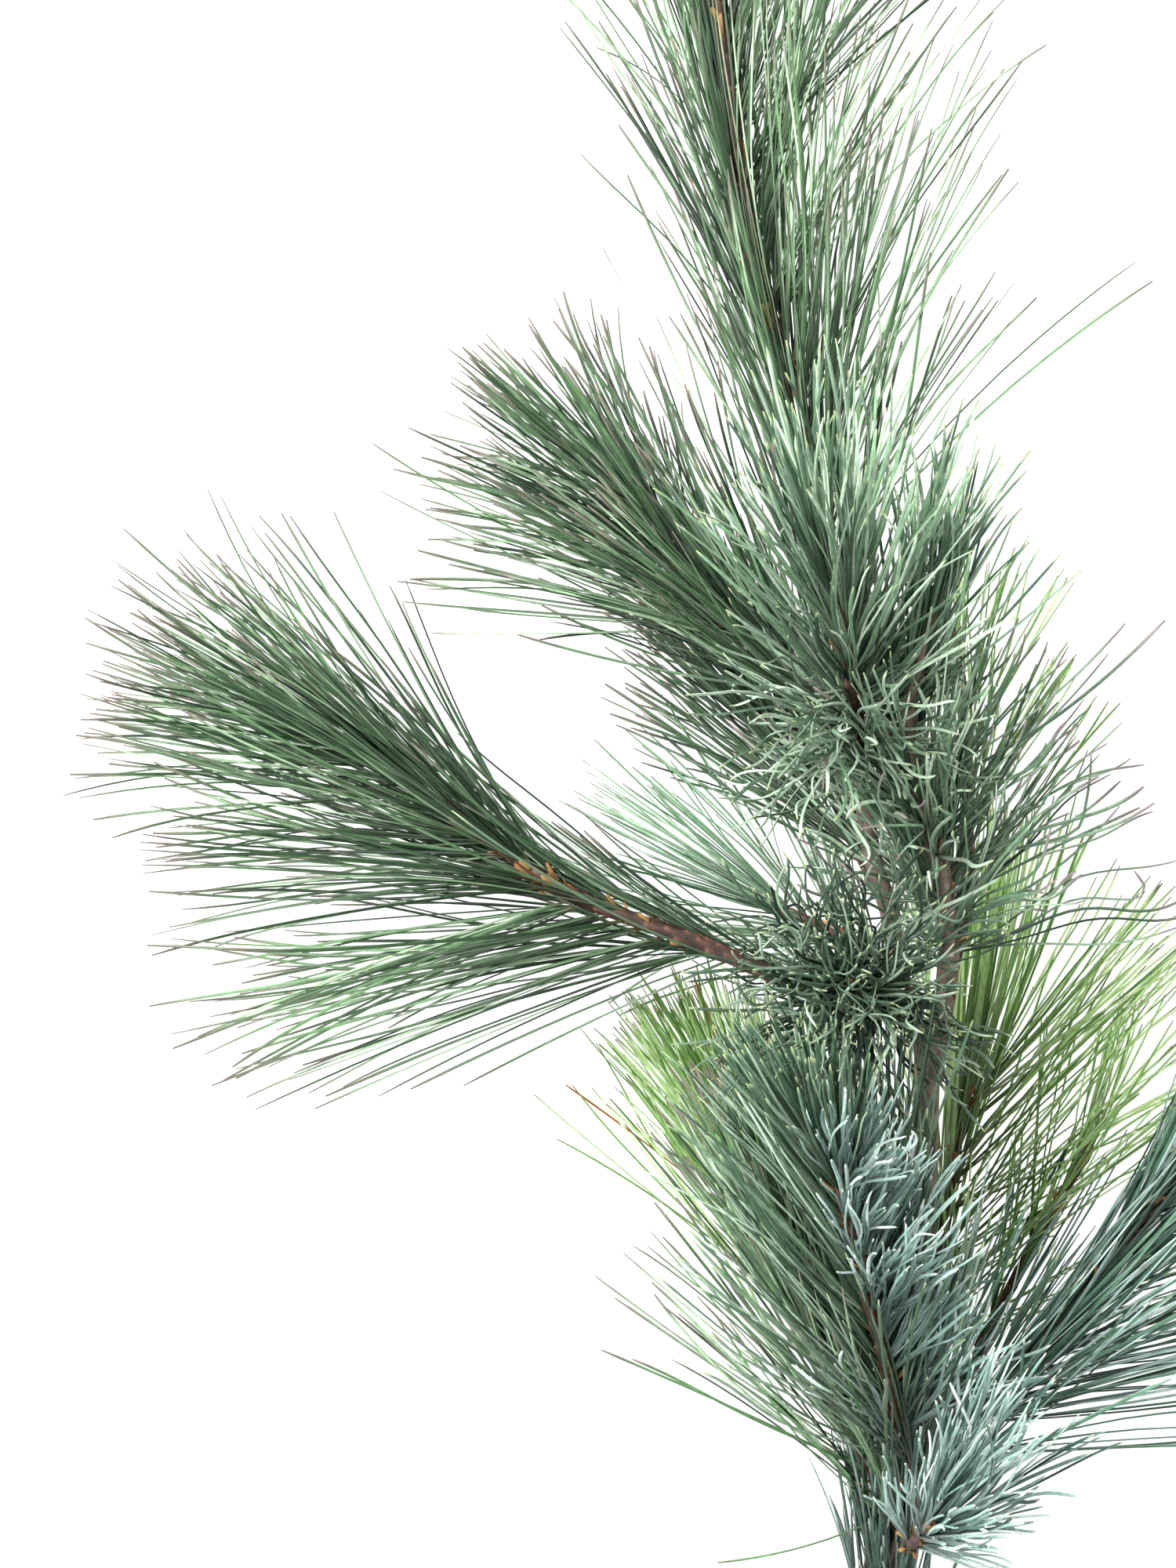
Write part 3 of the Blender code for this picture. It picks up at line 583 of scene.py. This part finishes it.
def mesh_object(name, points, faces, material, maps, sharp):
    """A smooth mesh with its maps, and with the chosen edges sharp."""
    mesh = bpy.data.meshes.new(name)
    mesh.from_pydata(points * MILLIMETRE, [], faces)
    for map_name, places in maps.items():
        layer = mesh.uv_layers.new(name=map_name)
        layer.uv.foreach_set("vector", np.ascontiguousarray(places, np.float32).ravel())
    mesh.shade_smooth()
    ends = np.empty(len(mesh.edges) * 2, np.int32)
    mesh.edges.foreach_get("vertices", ends)
    edge_is_sharp = mesh.attributes.new("sharp_edge", "BOOLEAN", "EDGE")
    edge_is_sharp.data.foreach_set("value", sharp(ends.reshape(-1, 2)))
    mesh.materials.append(material)
    return add_object(name, mesh)


def scattered(rng, size):
    """Chance values around 0, with none far out."""
    return np.clip(rng.normal(0, 1, size), -CHANCE_LIMIT, CHANCE_LIMIT)


def grow_bundles(line, leaf, rng):
    """Where each bundle stands on the twig, what it faces, the way that it points, and its length."""
    start, end = leaf["start"], (line.length - LAST_BUNDLE) * leaf["end"]
    count = int((end - start) * leaf["density"])
    share = ((np.arange(count) + rng.uniform(0, 1, count)) / count) ** leaf["crowd"]
    terminal = leaf["terminal"]
    share = np.concatenate([share, 1 - rng.uniform(0, TERMINAL_REACH, terminal)])
    count += terminal
    along = start + (end - start) * share
    turn = np.arange(count) * GOLDEN_TURN + rng.normal(0, TURN_SCATTER, count)
    axis = line.heading(along)
    across = np.cross(axis, UP)
    upright = np.linalg.norm(across, axis=1) < UPRIGHT
    across[upright] = np.cross(axis[upright], NORTH)
    across = unit(across)
    above = np.cross(across, axis)
    outward = np.cos(turn)[:, None] * across + np.sin(turn)[:, None] * above
    wide, narrow = leaf["spread"]
    angle = wide + (narrow - wide) * share ** SPREAD_POWER + scattered(rng, count) * leaf["jitter"]
    is_terminal = np.arange(count) >= count - terminal
    kept = np.ones(count, bool)
    for toward, part, *between in leaf["thin"]:
        first, last = between or (0, 1)
        facing = np.sqrt(np.clip(outward @ unit(np.array(toward, float)), 0, 1))
        here = (share >= first) & (share < last)
        kept &= ~(here & (rng.uniform(0, 1, count) < part * facing)) | is_terminal
    angle = np.where(is_terminal, angle * rng.uniform(*leaf["terminal_spread"], count), angle)
    angle = np.radians(np.clip(angle, *ANGLE_LIMITS))[:, None]
    foot_lean, tip_lean = np.array(leaf["lean"], float)
    pointing = np.cos(angle) * axis + np.sin(angle) * outward
    pointing = unit(pointing + foot_lean + (tip_lean - foot_lean) * share[:, None])
    foot = line.at(along) + outward * (line.radius(along) * FOOT_DEPTH)[:, None]
    foot_short, tip_short = leaf["short"]
    length = leaf["length"] * (1 - tip_short * share ** SHORTENING_POWER)
    length = length * (1 - foot_short * (1 - share) ** SHORTENING_POWER)
    length = length * (1 + np.minimum(scattered(rng, count), LONGEST) * leaf["vary"])
    return [values[kept] for values in (foot, outward, pointing, length)]


def bend_needles(heading, middle, leaf, rng):
    """The way that every needle points at the middle of each of its steps."""
    count = len(heading)
    shared_bend = np.repeat(scattered(rng, (count // BUNDLE, 3)), BUNDLE, 0) * leaf["wander"]
    own_bend = scattered(rng, (count, 3)) * leaf["bend"]
    turning_bend = rng.normal(0, TURNING_BEND, (count, 3)) * leaf["bend"]
    headings = heading[:, None, :] + (shared_bend + own_bend)[:, None, :] * (middle ** BEND_POWER)[:, None]
    headings += turning_bend[:, None, :] * np.sin(2 * np.pi * middle)[:, None]
    headings += (np.array(leaf["sweep"]) - (0, 0, leaf["droop"])) * (middle ** DROOP_POWER)[:, None]
    cycles = rng.uniform(*WAVE_CYCLES, count)[:, None]
    phase = rng.uniform(0, 2 * np.pi, count)[:, None]
    swing = 2 * np.pi * (cycles * middle + phase)
    one_way, other_way = rng.normal(0, leaf["wave"], (2, count, 1, 3))
    grows = (middle ** WAVE_POWER)[:, None]
    headings += (np.sin(swing)[..., None] * one_way + np.cos(swing)[..., None] * other_way) * grows
    hooked = rng.uniform(0, 1, count) < leaf["hook"]
    hook_from = rng.uniform(*HOOK_FROM, count)[:, None]
    hook = rng.normal(0, HOOK_TURN, (count, 3)) * hooked[:, None]
    headings += hook[:, None, :] * np.clip((middle - hook_from) / HOOK_LENGTH, 0, 1)[..., None]
    return unit(headings)


def grow_needles(line, leaf, rng):
    """The path of every needle, the way its outer face looks, its width and its tint."""
    foot, outward, pointing, length = grow_bundles(line, leaf, rng)
    bundles = len(foot)
    count = bundles * BUNDLE
    foot, outward, pointing, length = [np.repeat(v, BUNDLE, 0) for v in (foot, outward, pointing, length)]
    beside = unit(outward - pointing * np.sum(outward * pointing, 1)[:, None])
    below = unit(np.cross(pointing, beside))
    spin = np.tile(np.arange(BUNDLE) * 2 * np.pi / BUNDLE, bundles)
    spin = (spin + np.repeat(rng.uniform(0, 2 * np.pi, bundles), BUNDLE))[:, None]
    facing = np.cos(spin) * beside + np.sin(spin) * below
    fan = np.radians(np.abs(rng.normal(leaf["fan"], FAN_SCATTER, count)))[:, None]
    heading = unit(pointing * np.cos(fan) + facing * np.sin(fan))
    length = length * (1 + rng.normal(0, LENGTH_SCATTER, count))
    stations = needle_stations(leaf)
    headings = bend_needles(heading, (stations[1:] + stations[:-1]) / 2, leaf, rng)
    steps = headings * (length[:, None] * np.diff(stations))[..., None]
    paths = np.concatenate([foot[:, None], foot[:, None] + np.cumsum(steps, 1)], 1)
    rest = rng.uniform(*FLOOR_REACH, count)[:, None]
    height = paths[..., 2]
    paths[..., 2] = rest + FLOOR_SOFTNESS * np.logaddexp(0, (height - rest) / FLOOR_SOFTNESS)
    width = leaf["width"] * (1 + rng.normal(0, WIDTH_SCATTER, count))
    pale, scatter = leaf["tint"]
    shared_tint = np.repeat(rng.normal(0, SHARED_TINT, bundles), BUNDLE)
    # Painted light: needles on a twig's upper side are made paler and those below darker, as if lit from
    # above
    tint = pale + scatter * (OWN_TINT * rng.normal(0, 1, count) + shared_tint) + UPPER_SIDE_LIGHT_TINT * outward[:, 2]
    tint = np.clip(tint, 0.0, PALEST_TINT)
    tint[rng.uniform(0, 1, count) < leaf["dead"]] = DEAD_TINT
    return keep_inside(paths), facing, width, tint


def stray_needles(line, leaf, rng):
    """Single needles that stand out, each from its place on the twig to its tip, over a bow."""
    t = needle_stations(leaf)[:, None]
    paths, facing = [], []
    for along, *ends in leaf["strays"]:
        tip, bow = np.reshape(ends, (2, 3)).astype(float)
        foot, tip = line.at(along), tip + BOUGH_MIDDLE
        over = (foot + tip) / 2 + bow
        paths.append(foot * (1 - t) ** 2 + over * 2 * t * (1 - t) + tip * t ** 2)
        facing.append(unit(rng.normal(0, 1, 3)))
    count = len(paths)
    width = leaf["width"] * (1 + rng.normal(0, WIDTH_SCATTER, count))
    tint = np.clip(rng.normal(*leaf["tint"], count), 0, PALEST_TINT)
    return keep_inside(np.array(paths)), np.array(facing), width, tint


def needle_stations(leaf):
    return np.array(CURLY_STATIONS if leaf["wave"] > CURLY_WAVE else STRAIGHT_STATIONS)


def keep_inside(paths):
    """Shortens the needles whose tips would leave the solids' box by more than the margin."""
    low, high = [np.array(corner) / MILLIMETRE for corner in CAD_BOX]
    margin = (high - low) * BOX_MARGIN
    foot = paths[:, :1]
    reach = paths - foot
    room = np.where(reach > 0, high + margin - foot, low - margin - foot)
    share = np.min(np.where(np.abs(reach) > 1, room / np.where(reach == 0, 1, reach), 1), axis=(1, 2))
    return foot + reach * np.clip(share, 0, 1)[:, None, None]


def map_boxes(left, right, low):
    """The corners of boxes on the blades' map, one for each face."""
    left, right, low = np.broadcast_arrays(left, right, low)
    high = low + BLADE_BAND
    return np.stack([left, low, left, high, right, high, right, low], -1).reshape(-1, 4, 2)


def needle_blades(paths, facing, width, tint, twist, stations, section=NEEDLE_SECTION):
    """The points, faces and colour map of closed blades along the paths."""
    count, rings = paths.shape[:2]
    corners = len(section)
    tangent = unit(np.gradient(paths, axis=1))
    normal = facing[:, None, :] - tangent * np.sum(facing[:, None, :] * tangent, 2)[..., None]
    normal = unit(normal)
    side = np.cross(tangent, normal)
    turn = (twist[:, None] * stations)[..., None]
    normal, side = normal * np.cos(turn) + side * np.sin(turn), side * np.cos(turn) - normal * np.sin(turn)
    scale = (width[:, None] * np.interp(stations, TAPER_PLACES, TAPER_WIDTHS))[..., None]
    points = np.stack([paths + scale * (x * side + y * normal) for x, y in section], 2)

    ring = np.arange(count)[:, None, None] * rings * corners + np.arange(rings - 1)[:, None] * corners
    near = ring + np.arange(corners)
    near_next = ring + (np.arange(corners) + 1) % corners
    walls = np.stack([near, near_next, near_next + corners, near + corners], -1)
    start = np.arange(count)[:, None] * rings * corners
    foot_caps = start + np.arange(corners)[::-1]
    tip_caps = start + (rings - 1) * corners + np.arange(corners)
    quads = np.vstack([walls.reshape(-1, 4), foot_caps, tip_caps])

    along_map = MAP_START + MAP_INNER * INNER_FACES + MAP_LENGTH * stations[:, None]
    low = tint * (1 - 2 * BLADE_BAND) + 0.5 * BLADE_BAND
    places = [map_boxes(along_map[:-1], along_map[1:], low[:, None, None])]
    places += [map_boxes(cap, cap + CAP_WIDTH, low) for cap in CAP_PLACES]
    return points.reshape(-1, 3), quads, np.concatenate(places)


def blade_piece(name, blades, material):
    """One mesh of several lots of blades, sharp along their inner and side edges."""
    first = np.cumsum([0] + [len(points) for points, _, _ in blades])
    points = np.vstack([points for points, _, _ in blades])
    quads = np.vstack([quads + start for (_, quads, _), start in zip(blades, first)])
    places = np.concatenate([places for _, _, places in blades])
    corners = len(NEEDLE_SECTION)

    def sharp(ends):
        lengthwise = ends[:, 0] % corners == ends[:, 1] % corners
        return lengthwise & (ends[:, 0] % corners != OUTER_EDGE)

    return mesh_object(name, points, quads, material, {"OFBake": places, "needle": places}, sharp)


def new_material(name):
    material = bpy.data.materials.new(name)
    material.use_nodes = True
    material.node_tree.nodes.clear()
    return material, material.node_tree


def feed(tree, socket, value):
    """Sets a node's input to a value, or links it to what another node gives."""
    if isinstance(value, bpy.types.NodeSocket):
        tree.links.new(value, socket)
    elif socket.type == "RGBA":
        socket.default_value = (*value, 1.0)
    else:
        socket.default_value = value


def add_node(tree, kind, inputs):
    node = tree.nodes.new("ShaderNode" + kind)
    for name, value in inputs.items():
        feed(tree, node.inputs[name], value)
    return node


def math_node(tree, operation, *values):
    node = add_node(tree, "Math", dict(enumerate(values)))
    node.operation = operation
    return node.outputs[0]


def noise(tree, place, scale, detail=2.0):
    return add_node(tree, "TexNoise", {"Vector": place, "Scale": scale, "Detail": detail}).outputs["Fac"]


def ramp(tree, factor, *stops):
    """Colours, or plain numbers as greys, by a factor from 0 to 1."""
    node = add_node(tree, "ValToRGB", {"Fac": factor})
    band = node.color_ramp
    while len(band.elements) < len(stops):
        band.elements.new(0.5)
    for element, (place, colour) in zip(band.elements, stops):
        element.position = place
        element.color = (*(colour if isinstance(colour, tuple) else 3 * (colour,)), 1.0)
    return node.outputs["Color"]


def mix(tree, factor, a, b, blend="MIX"):
    node = tree.nodes.new("ShaderNodeMix")
    node.data_type = "RGBA"
    node.blend_type = blend
    node.clamp_result = True
    for place, value in ((0, factor), (6, a), (7, b)):
        feed(tree, node.inputs[place], value)
    return node.outputs[2]


def read_map(tree, map_name):
    """A place on one of the piece's maps, and its two numbers."""
    place = tree.nodes.new("ShaderNodeUVMap")
    place.uv_map = map_name
    split = add_node(tree, "SeparateXYZ", {0: place.outputs["UV"]})
    return place.outputs["UV"], split.outputs["X"], split.outputs["Y"]


def needle_material(name, look):
    """Green outside, waxy inside, straw at the foot and brown at the tip, by the needle's map, with painted
    shade towards the foot and painted light towards the tip.
    """
    material, tree = new_material(name)
    place, across, tint = read_map(tree, "needle")
    inner = math_node(tree, "GREATER_THAN", across, MAP_INNER)
    along = math_node(tree, "SUBTRACT", math_node(tree, "MULTIPLY", across, 2.0), inner)
    faces = []
    for darkest, palest in look[:2]:
        usual = tuple(a + USUAL_SHADE * (b - a) for a, b in zip(darkest, palest))
        faces.append(ramp(tree, tint, *zip(TINT_STOPS, (darkest, usual, palest))))
    body = mix(tree, inner, *faces)
    stretched = add_node(tree, "Mapping", {"Vector": place, "Scale": SPECKLE_STRETCH}).outputs["Vector"]
    body = mix(tree, 1.0, body, ramp(tree, noise(tree, stretched, 1.0), *SPECKLE_GAIN), "MULTIPLY")
    # Painted shade towards each needle's foot and painted light towards its tip
    body = mix(tree, 1.0, body, ramp(tree, along, *FOOT_SHADE_TIP_LIGHT), "MULTIPLY")
    through, tip_colour, tip_from, tip_to = look[2:]
    tip = ramp(tree, along, (TIP_ON_MAP * tip_from, 0.0), (TIP_ON_MAP * tip_to, 1.0))
    body = mix(tree, tip, body, tip_colour)
    body = mix(tree, ramp(tree, along, *FOOT_FADE), body, FOOT_COLOUR)
    colour = mix(tree, math_node(tree, "GREATER_THAN", tint, DEAD_FROM), body, DEAD_COLOUR)
    shader = add_node(tree, "BsdfPrincipled", {"Base Color": colour, "Roughness": NEEDLE_ROUGHNESS})
    glow = add_node(tree, "BsdfTranslucent", {"Color": colour})
    both = add_node(tree, "MixShader", {0: through, 1: shader.outputs[0], 2: glow.outputs[0]})
    add_node(tree, "OutputMaterial", {"Surface": both.outputs[0]})
    return material


def make_needles(materials):
    """The needles of each clump, as one piece for each of its looks."""
    for order, (name, twig) in enumerate(TWIGS.items()):
        blades = {}
        for number, leaf in enumerate(twig.get("needles", ())):
            rng = np.random.default_rng((SEED, order, number))
            line = CentreLine(TWIGS[leaf["on"] or name])
            grown = [grow_needles(line, leaf, rng)]
            if leaf["strays"]:
                grown.append(stray_needles(line, leaf, rng))
            for paths, facing, width, tint in grown:
                twist = rng.normal(0, leaf["twist"], len(paths))
                made = needle_blades(paths, facing, width, tint, twist, needle_stations(leaf))
                blades.setdefault(leaf["look"], []).append(made)
        clump = name.rsplit("_", 1)[0]
        for number, (look, lots) in enumerate(blades.items()):
            piece = blade_piece(clump + "_foliage" + ("_" + look if number else ""), lots, materials[look])
            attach(piece, "root")
            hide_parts(clump + "_needles")


def make_scales(material):
    """Thin curled scales at the feet of some bundles, and in the tufts that show."""
    stations = np.array(SCALE_STATIONS)
    blades = []
    for order, (name, twig) in enumerate(TWIGS.items()):
        if "needles" not in twig:
            continue
        rng = np.random.default_rng((SEED, SCALE_SEED + order))
        line = CentreLine(twig)
        singles = int(line.length / SCALE_SPACING)
        spots = [(rng.uniform(SCALES_FROM, 1) * line.length, rng.normal(0, 1, 3)) for _ in range(singles)]
        for along, toward, count in SCALE_TUFTS.get(name, ()):
            for _ in range(count):
                spots.append((along + rng.normal(0, TUFT_LENGTH), toward + rng.normal(0, TUFT_SPREAD, 3)))
        along = np.clip([spot[0] for spot in spots], 0, line.length)
        axis = line.heading(along)
        outward = np.array([spot[1] for spot in spots])
        outward = unit(outward - axis * np.sum(outward * axis, 1)[:, None])
        count = len(spots)
        angle = np.radians(rng.uniform(*SCALE_ANGLES, count))[:, None]
        heading = axis * np.cos(angle) + outward * np.sin(angle) + rng.normal(0, SCALE_SCATTER, (count, 3))
        middle = ((stations[1:] + stations[:-1]) / 2)[:, None]
        curl = rng.normal(*SCALE_CURL, (count, 1, 1)) * outward[:, None] * middle
        length = rng.uniform(*SCALE_LENGTHS, count)[:, None]
        steps = unit(heading[:, None] + curl) * (length * np.diff(stations))[..., None]
        foot = (line.at(along) + outward * line.radius(along)[:, None])[:, None]
        paths = np.concatenate([foot, foot + np.cumsum(steps, 1)], 1)
        width, tint = rng.uniform(*SCALE_WIDTHS, count), rng.uniform(*SCALE_TINTS, count)
        twist = rng.normal(0, SCALE_TWIST, count)
        blades.append(needle_blades(paths, outward, width, tint, twist, stations, SCALE_SECTION))
    piece = blade_piece("bud_scales", blades, material)
    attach(piece, "root")


def bark_material(name, colours):
    """Dark between the ridges and mottled, by the wood's own relief, with rings on the cut end."""
    material, tree = new_material(name)
    _, height, bud = read_map(tree, "relief")
    spot = tree.nodes.new("ShaderNodeTexCoord").outputs["Object"]
    mottle, grain = noise(tree, spot, MOTTLE_SCALE, 4.0), noise(tree, spot, GRAIN_SCALE)
    bark = ramp(tree, height, *zip(BARK_STOPS, colours))
    bark = mix(tree, 1.0, bark, ramp(tree, mottle, *MOTTLE_GAIN), "MULTIPLY")
    bark = mix(tree, 1.0, bark, ramp(tree, grain, *GRAIN_GAIN), "MULTIPLY")
    colour = mix(tree, math_node(tree, "MAXIMUM", bud, 0.0), bark, ramp(tree, height, *BUD_COLOURS))
    ring = math_node(tree, "SINE", math_node(tree, "MULTIPLY", height, 2 * math.pi * GROWTH_RINGS))
    wood = mix(tree, ramp(tree, height, *PITH_FADE), ramp(tree, ring, *RING_COLOURS), PITH_COLOUR)
    wood = mix(tree, ramp(tree, height, *RIM_FADE), wood, colours[1])
    colour = mix(tree, math_node(tree, "LESS_THAN", bud, CUT_MARK / 2), colour, wood)
    bump = add_node(tree, "Bump", {"Strength": BUMP_STRENGTH, "Distance": BUMP_DEPTH, "Height": grain})
    shader = add_node(tree, "BsdfPrincipled", {
        "Base Color": colour, "Roughness": BARK_ROUGHNESS, "Normal": bump.outputs["Normal"],
    })
    add_node(tree, "OutputMaterial", {"Surface": shader.outputs[0]})
    return material


def carried_frame(headings):
    """Two directions across a line that turn with it as little as they can."""
    start = np.array(UP if abs(headings[0][2]) < STEEP else NORTH)
    across = unit(np.cross(headings[0], start))
    first = []
    for heading in headings:
        across = unit(across - heading * (across @ heading))
        first.append(across)
    first = np.array(first)
    return first, np.cross(headings, first)


def rough_bark(along, turn, rng):
    """Smooth seeded noise round a twig and along it, from 0.2 to 0.8."""
    total = 0.0
    for _ in range(BARK_WAVES):
        lobes = rng.integers(*BARK_LOBES)
        total = total + np.sin(lobes * turn + along * rng.uniform(*BARK_PITCH) + rng.uniform(0, 2 * np.pi))
    return 0.5 + 0.3 * (total / BARK_WAVES)


def pegs(along, turn, first, last, spacing, rng):
    """The ridges under the needle bundles: steep above, and running down the twig below."""
    height = np.zeros_like(along + turn)
    place = first
    step = 0
    while place < last:
        off_along = along - place
        off_turn = (turn - step * GOLDEN_TURN - rng.normal(0, PEG_SCATTER) + np.pi) % (2 * np.pi) - np.pi
        rise = np.where(off_along < 0, np.exp(off_along / PEG_TAIL), np.exp(-((off_along / PEG_TOP) ** 2)))
        rise = rise * np.exp(-((off_turn / PEG_WIDTH) ** 2)) * rng.uniform(*PEG_HEIGHTS)
        height = np.maximum(height, rise)
        place += spacing * rng.uniform(*PEG_SPACINGS)
        step += 1
    return height


def wood_faces(count):
    """The walls of a closed tube with so many rings, and the triangles that close its two ends."""
    side = np.arange(BARK_SIDES)
    following = (side + 1) % BARK_SIDES
    ring = np.arange(count - 1)[:, None] * BARK_SIDES
    above = ring + BARK_SIDES
    walls = np.stack([ring + side, ring + following, above + following, above + side], -1).reshape(-1, 4)
    last = (count - 1) * BARK_SIDES
    middle = np.full(BARK_SIDES, count * BARK_SIDES)
    foot_cap = np.stack([following, side, middle], -1)
    tip_cap = np.stack([last + side, last + following, middle + 1], -1)
    return walls, foot_cap, tip_cap


def wood_map(along):
    """The flat map of the same tube: its walls between two strips that hold the ends."""
    side = np.arange(BARK_SIDES)
    left, right = side / BARK_SIDES, (side + 1) / BARK_SIDES
    share = WALLS_FROM + WALLS_LENGTH * (along - along[0]) / (along[-1] - along[0])
    low, high = share[:-1, None], share[1:, None]
    boxes = [(left, low, right, low, right, high, left, high)]
    for (edge, middle), (a, b) in zip(CAP_STRIPS, ((right, left), (left, right))):
        boxes.append((a, edge, b, edge, (left + right) / 2, middle))
    return np.vstack([np.stack(np.broadcast_arrays(*box), -1).reshape(-1, 2) for box in boxes])


def wood_piece(name, twig, rng, material):
    """One piece of wood with its bark's relief, from inside what it grows from to its bud."""
    line = CentreLine(twig)
    has_bud = "needles" in twig
    bud_length = BUD_LENGTH if has_bud else 0.0
    sunk = FOOT_SUNK if name != "main_stem" else 0.0
    count = int((line.length + sunk + bud_length) / BARK_RING)
    along = np.linspace(-sunk, line.length + bud_length, count)
    inside = np.clip(along, 0, line.length)
    headings = line.heading(inside)
    centres = line.at(inside) + headings * (along - inside)[:, None]
    radius = line.radius(inside)
    if sunk:
        radius = radius * (1 + FOOT_FLARE * np.exp(-np.clip(along, 0, None) / FOOT_FLARE_LENGTH))

    bark = BARKS[twig.get("bark", "young")]
    grid_along, turn = along[:, None], np.arange(BARK_SIDES) * 2 * np.pi / BARK_SIDES
    rough = rough_bark(grid_along, turn, rng)
    ridges = pegs(grid_along, turn, FIRST_PEG, line.length, bark["spacing"], rng)
    rise = bark["rise"][0] * rough + bark["rise"][1] * ridges
    relief = bark["relief"][0] * rough + bark["relief"][1] * ridges
    in_bud = np.clip((along - line.length) / BUD_LENGTH, 0, 1)
    is_bud = np.broadcast_to((in_bud > 0)[:, None], relief.shape)
    if has_bud:
        scales = pegs(grid_along, turn, line.length, line.length + BUD_LENGTH, BUD_SPACING, rng)
        fade = np.sqrt(1 - in_bud ** 2)[:, None]
        rise = np.where(is_bud, BUD_RISE * scales * fade, rise)
        relief = np.where(is_bud, scales, relief)
    reach = (radius * np.interp(in_bud, BUD_SHARES, BUD_SWELLS))[:, None] + rise
    first, second = carried_frame(headings)
    out = np.cos(turn)[..., None] * first[:, None] + np.sin(turn)[..., None] * second[:, None]
    points = (centres[:, None] + reach[..., None] * out).reshape(-1, 3)
    points[:, 2] = np.maximum(points[:, 2], WOOD_FLOOR)
    points = np.vstack([points, centres[[0, -1]]])

    walls, foot_cap, tip_cap = wood_faces(count)
    corner = np.concatenate([walls.ravel(), foot_cap.ravel(), tip_cap.ravel()])
    height = np.append(np.clip(relief, 0, 1).ravel(), CAP_RELIEFS)
    budness = np.append(is_bud.ravel(), (0, has_bud))
    told = np.stack([height[corner], budness[corner]], -1)
    on_cut = slice(walls.size, walls.size + foot_cap.size)
    told[on_cut] = np.tile([(1, CUT_MARK), (1, CUT_MARK), (0, CUT_MARK)], (BARK_SIDES, 1))
    faces = walls.tolist() + foot_cap.tolist() + tip_cap.tolist()
    maps = {"OFBake": wood_map(along), "relief": told}
    return mesh_object(name + "_bark", points, faces, material, maps, lambda ends: np.zeros(len(ends), bool))


def make_wood():
    materials = {name: bark_material(name + "_bark", bark["colours"]) for name, bark in BARKS.items()}
    for order, (name, twig) in enumerate(TWIGS.items()):
        rng = np.random.default_rng((SEED, WOOD_SEED + order))
        piece = wood_piece(name, twig, rng, materials[twig.get("bark", "young")])
        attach(piece, "root")
        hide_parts(name)


def make_stage():
    """A pale table that shines a little, a white room, and one large soft lamp."""
    world = bpy.context.scene.world or bpy.data.worlds.new("studio")
    bpy.context.scene.world = world
    world.use_nodes = True
    background = world.node_tree.nodes["Background"]
    background.inputs["Color"].default_value = (*WHITE, 1.0)
    background.inputs["Strength"].default_value = ROOM_LIGHT

    mesh = bpy.data.meshes.new("table")
    corners = [(x * TABLE_REACH, y * TABLE_REACH, 0) for x, y in ((-1, -1), (1, -1), (1, 1), (-1, 1))]
    mesh.from_pydata(corners, [], [(0, 1, 2, 3)])
    material, tree = new_material("table")
    shader = add_node(tree, "BsdfPrincipled", {
        "Base Color": TABLE_COLOUR, "Roughness": TABLE_ROUGHNESS,
        "Emission Color": WHITE, "Emission Strength": TABLE_GLOW,
    })
    add_node(tree, "OutputMaterial", {"Surface": shader.outputs[0]})
    mesh.materials.append(material)
    add_object("table", mesh)

    lamp = bpy.data.lights.new("softbox", "AREA")
    lamp.shape = "DISK"
    lamp.size = LAMP_SIZE
    lamp.energy = LAMP_POWER
    softbox = add_object("softbox", lamp)
    softbox.location = LAMP_PLACE
    softbox.rotation_euler = [math.radians(angle) for angle in LAMP_TILT]


def make_camera():
    data = bpy.data.cameras.new("camera")
    data.sensor_width = SENSOR
    data.lens = LENS
    camera = add_object("camera", data)
    camera.location = [value * MILLIMETRE for value in CAMERA_PLACE]
    bpy.context.scene.camera = camera
    bpy.context.scene.view_settings.view_transform = "Standard"


make_camera()
make_stage()
needle_looks = {name: needle_material("needles_" + name, look) for name, look in LOOKS.items()}
make_needles(needle_looks)
make_scales(needle_looks["golden"])
make_wood()
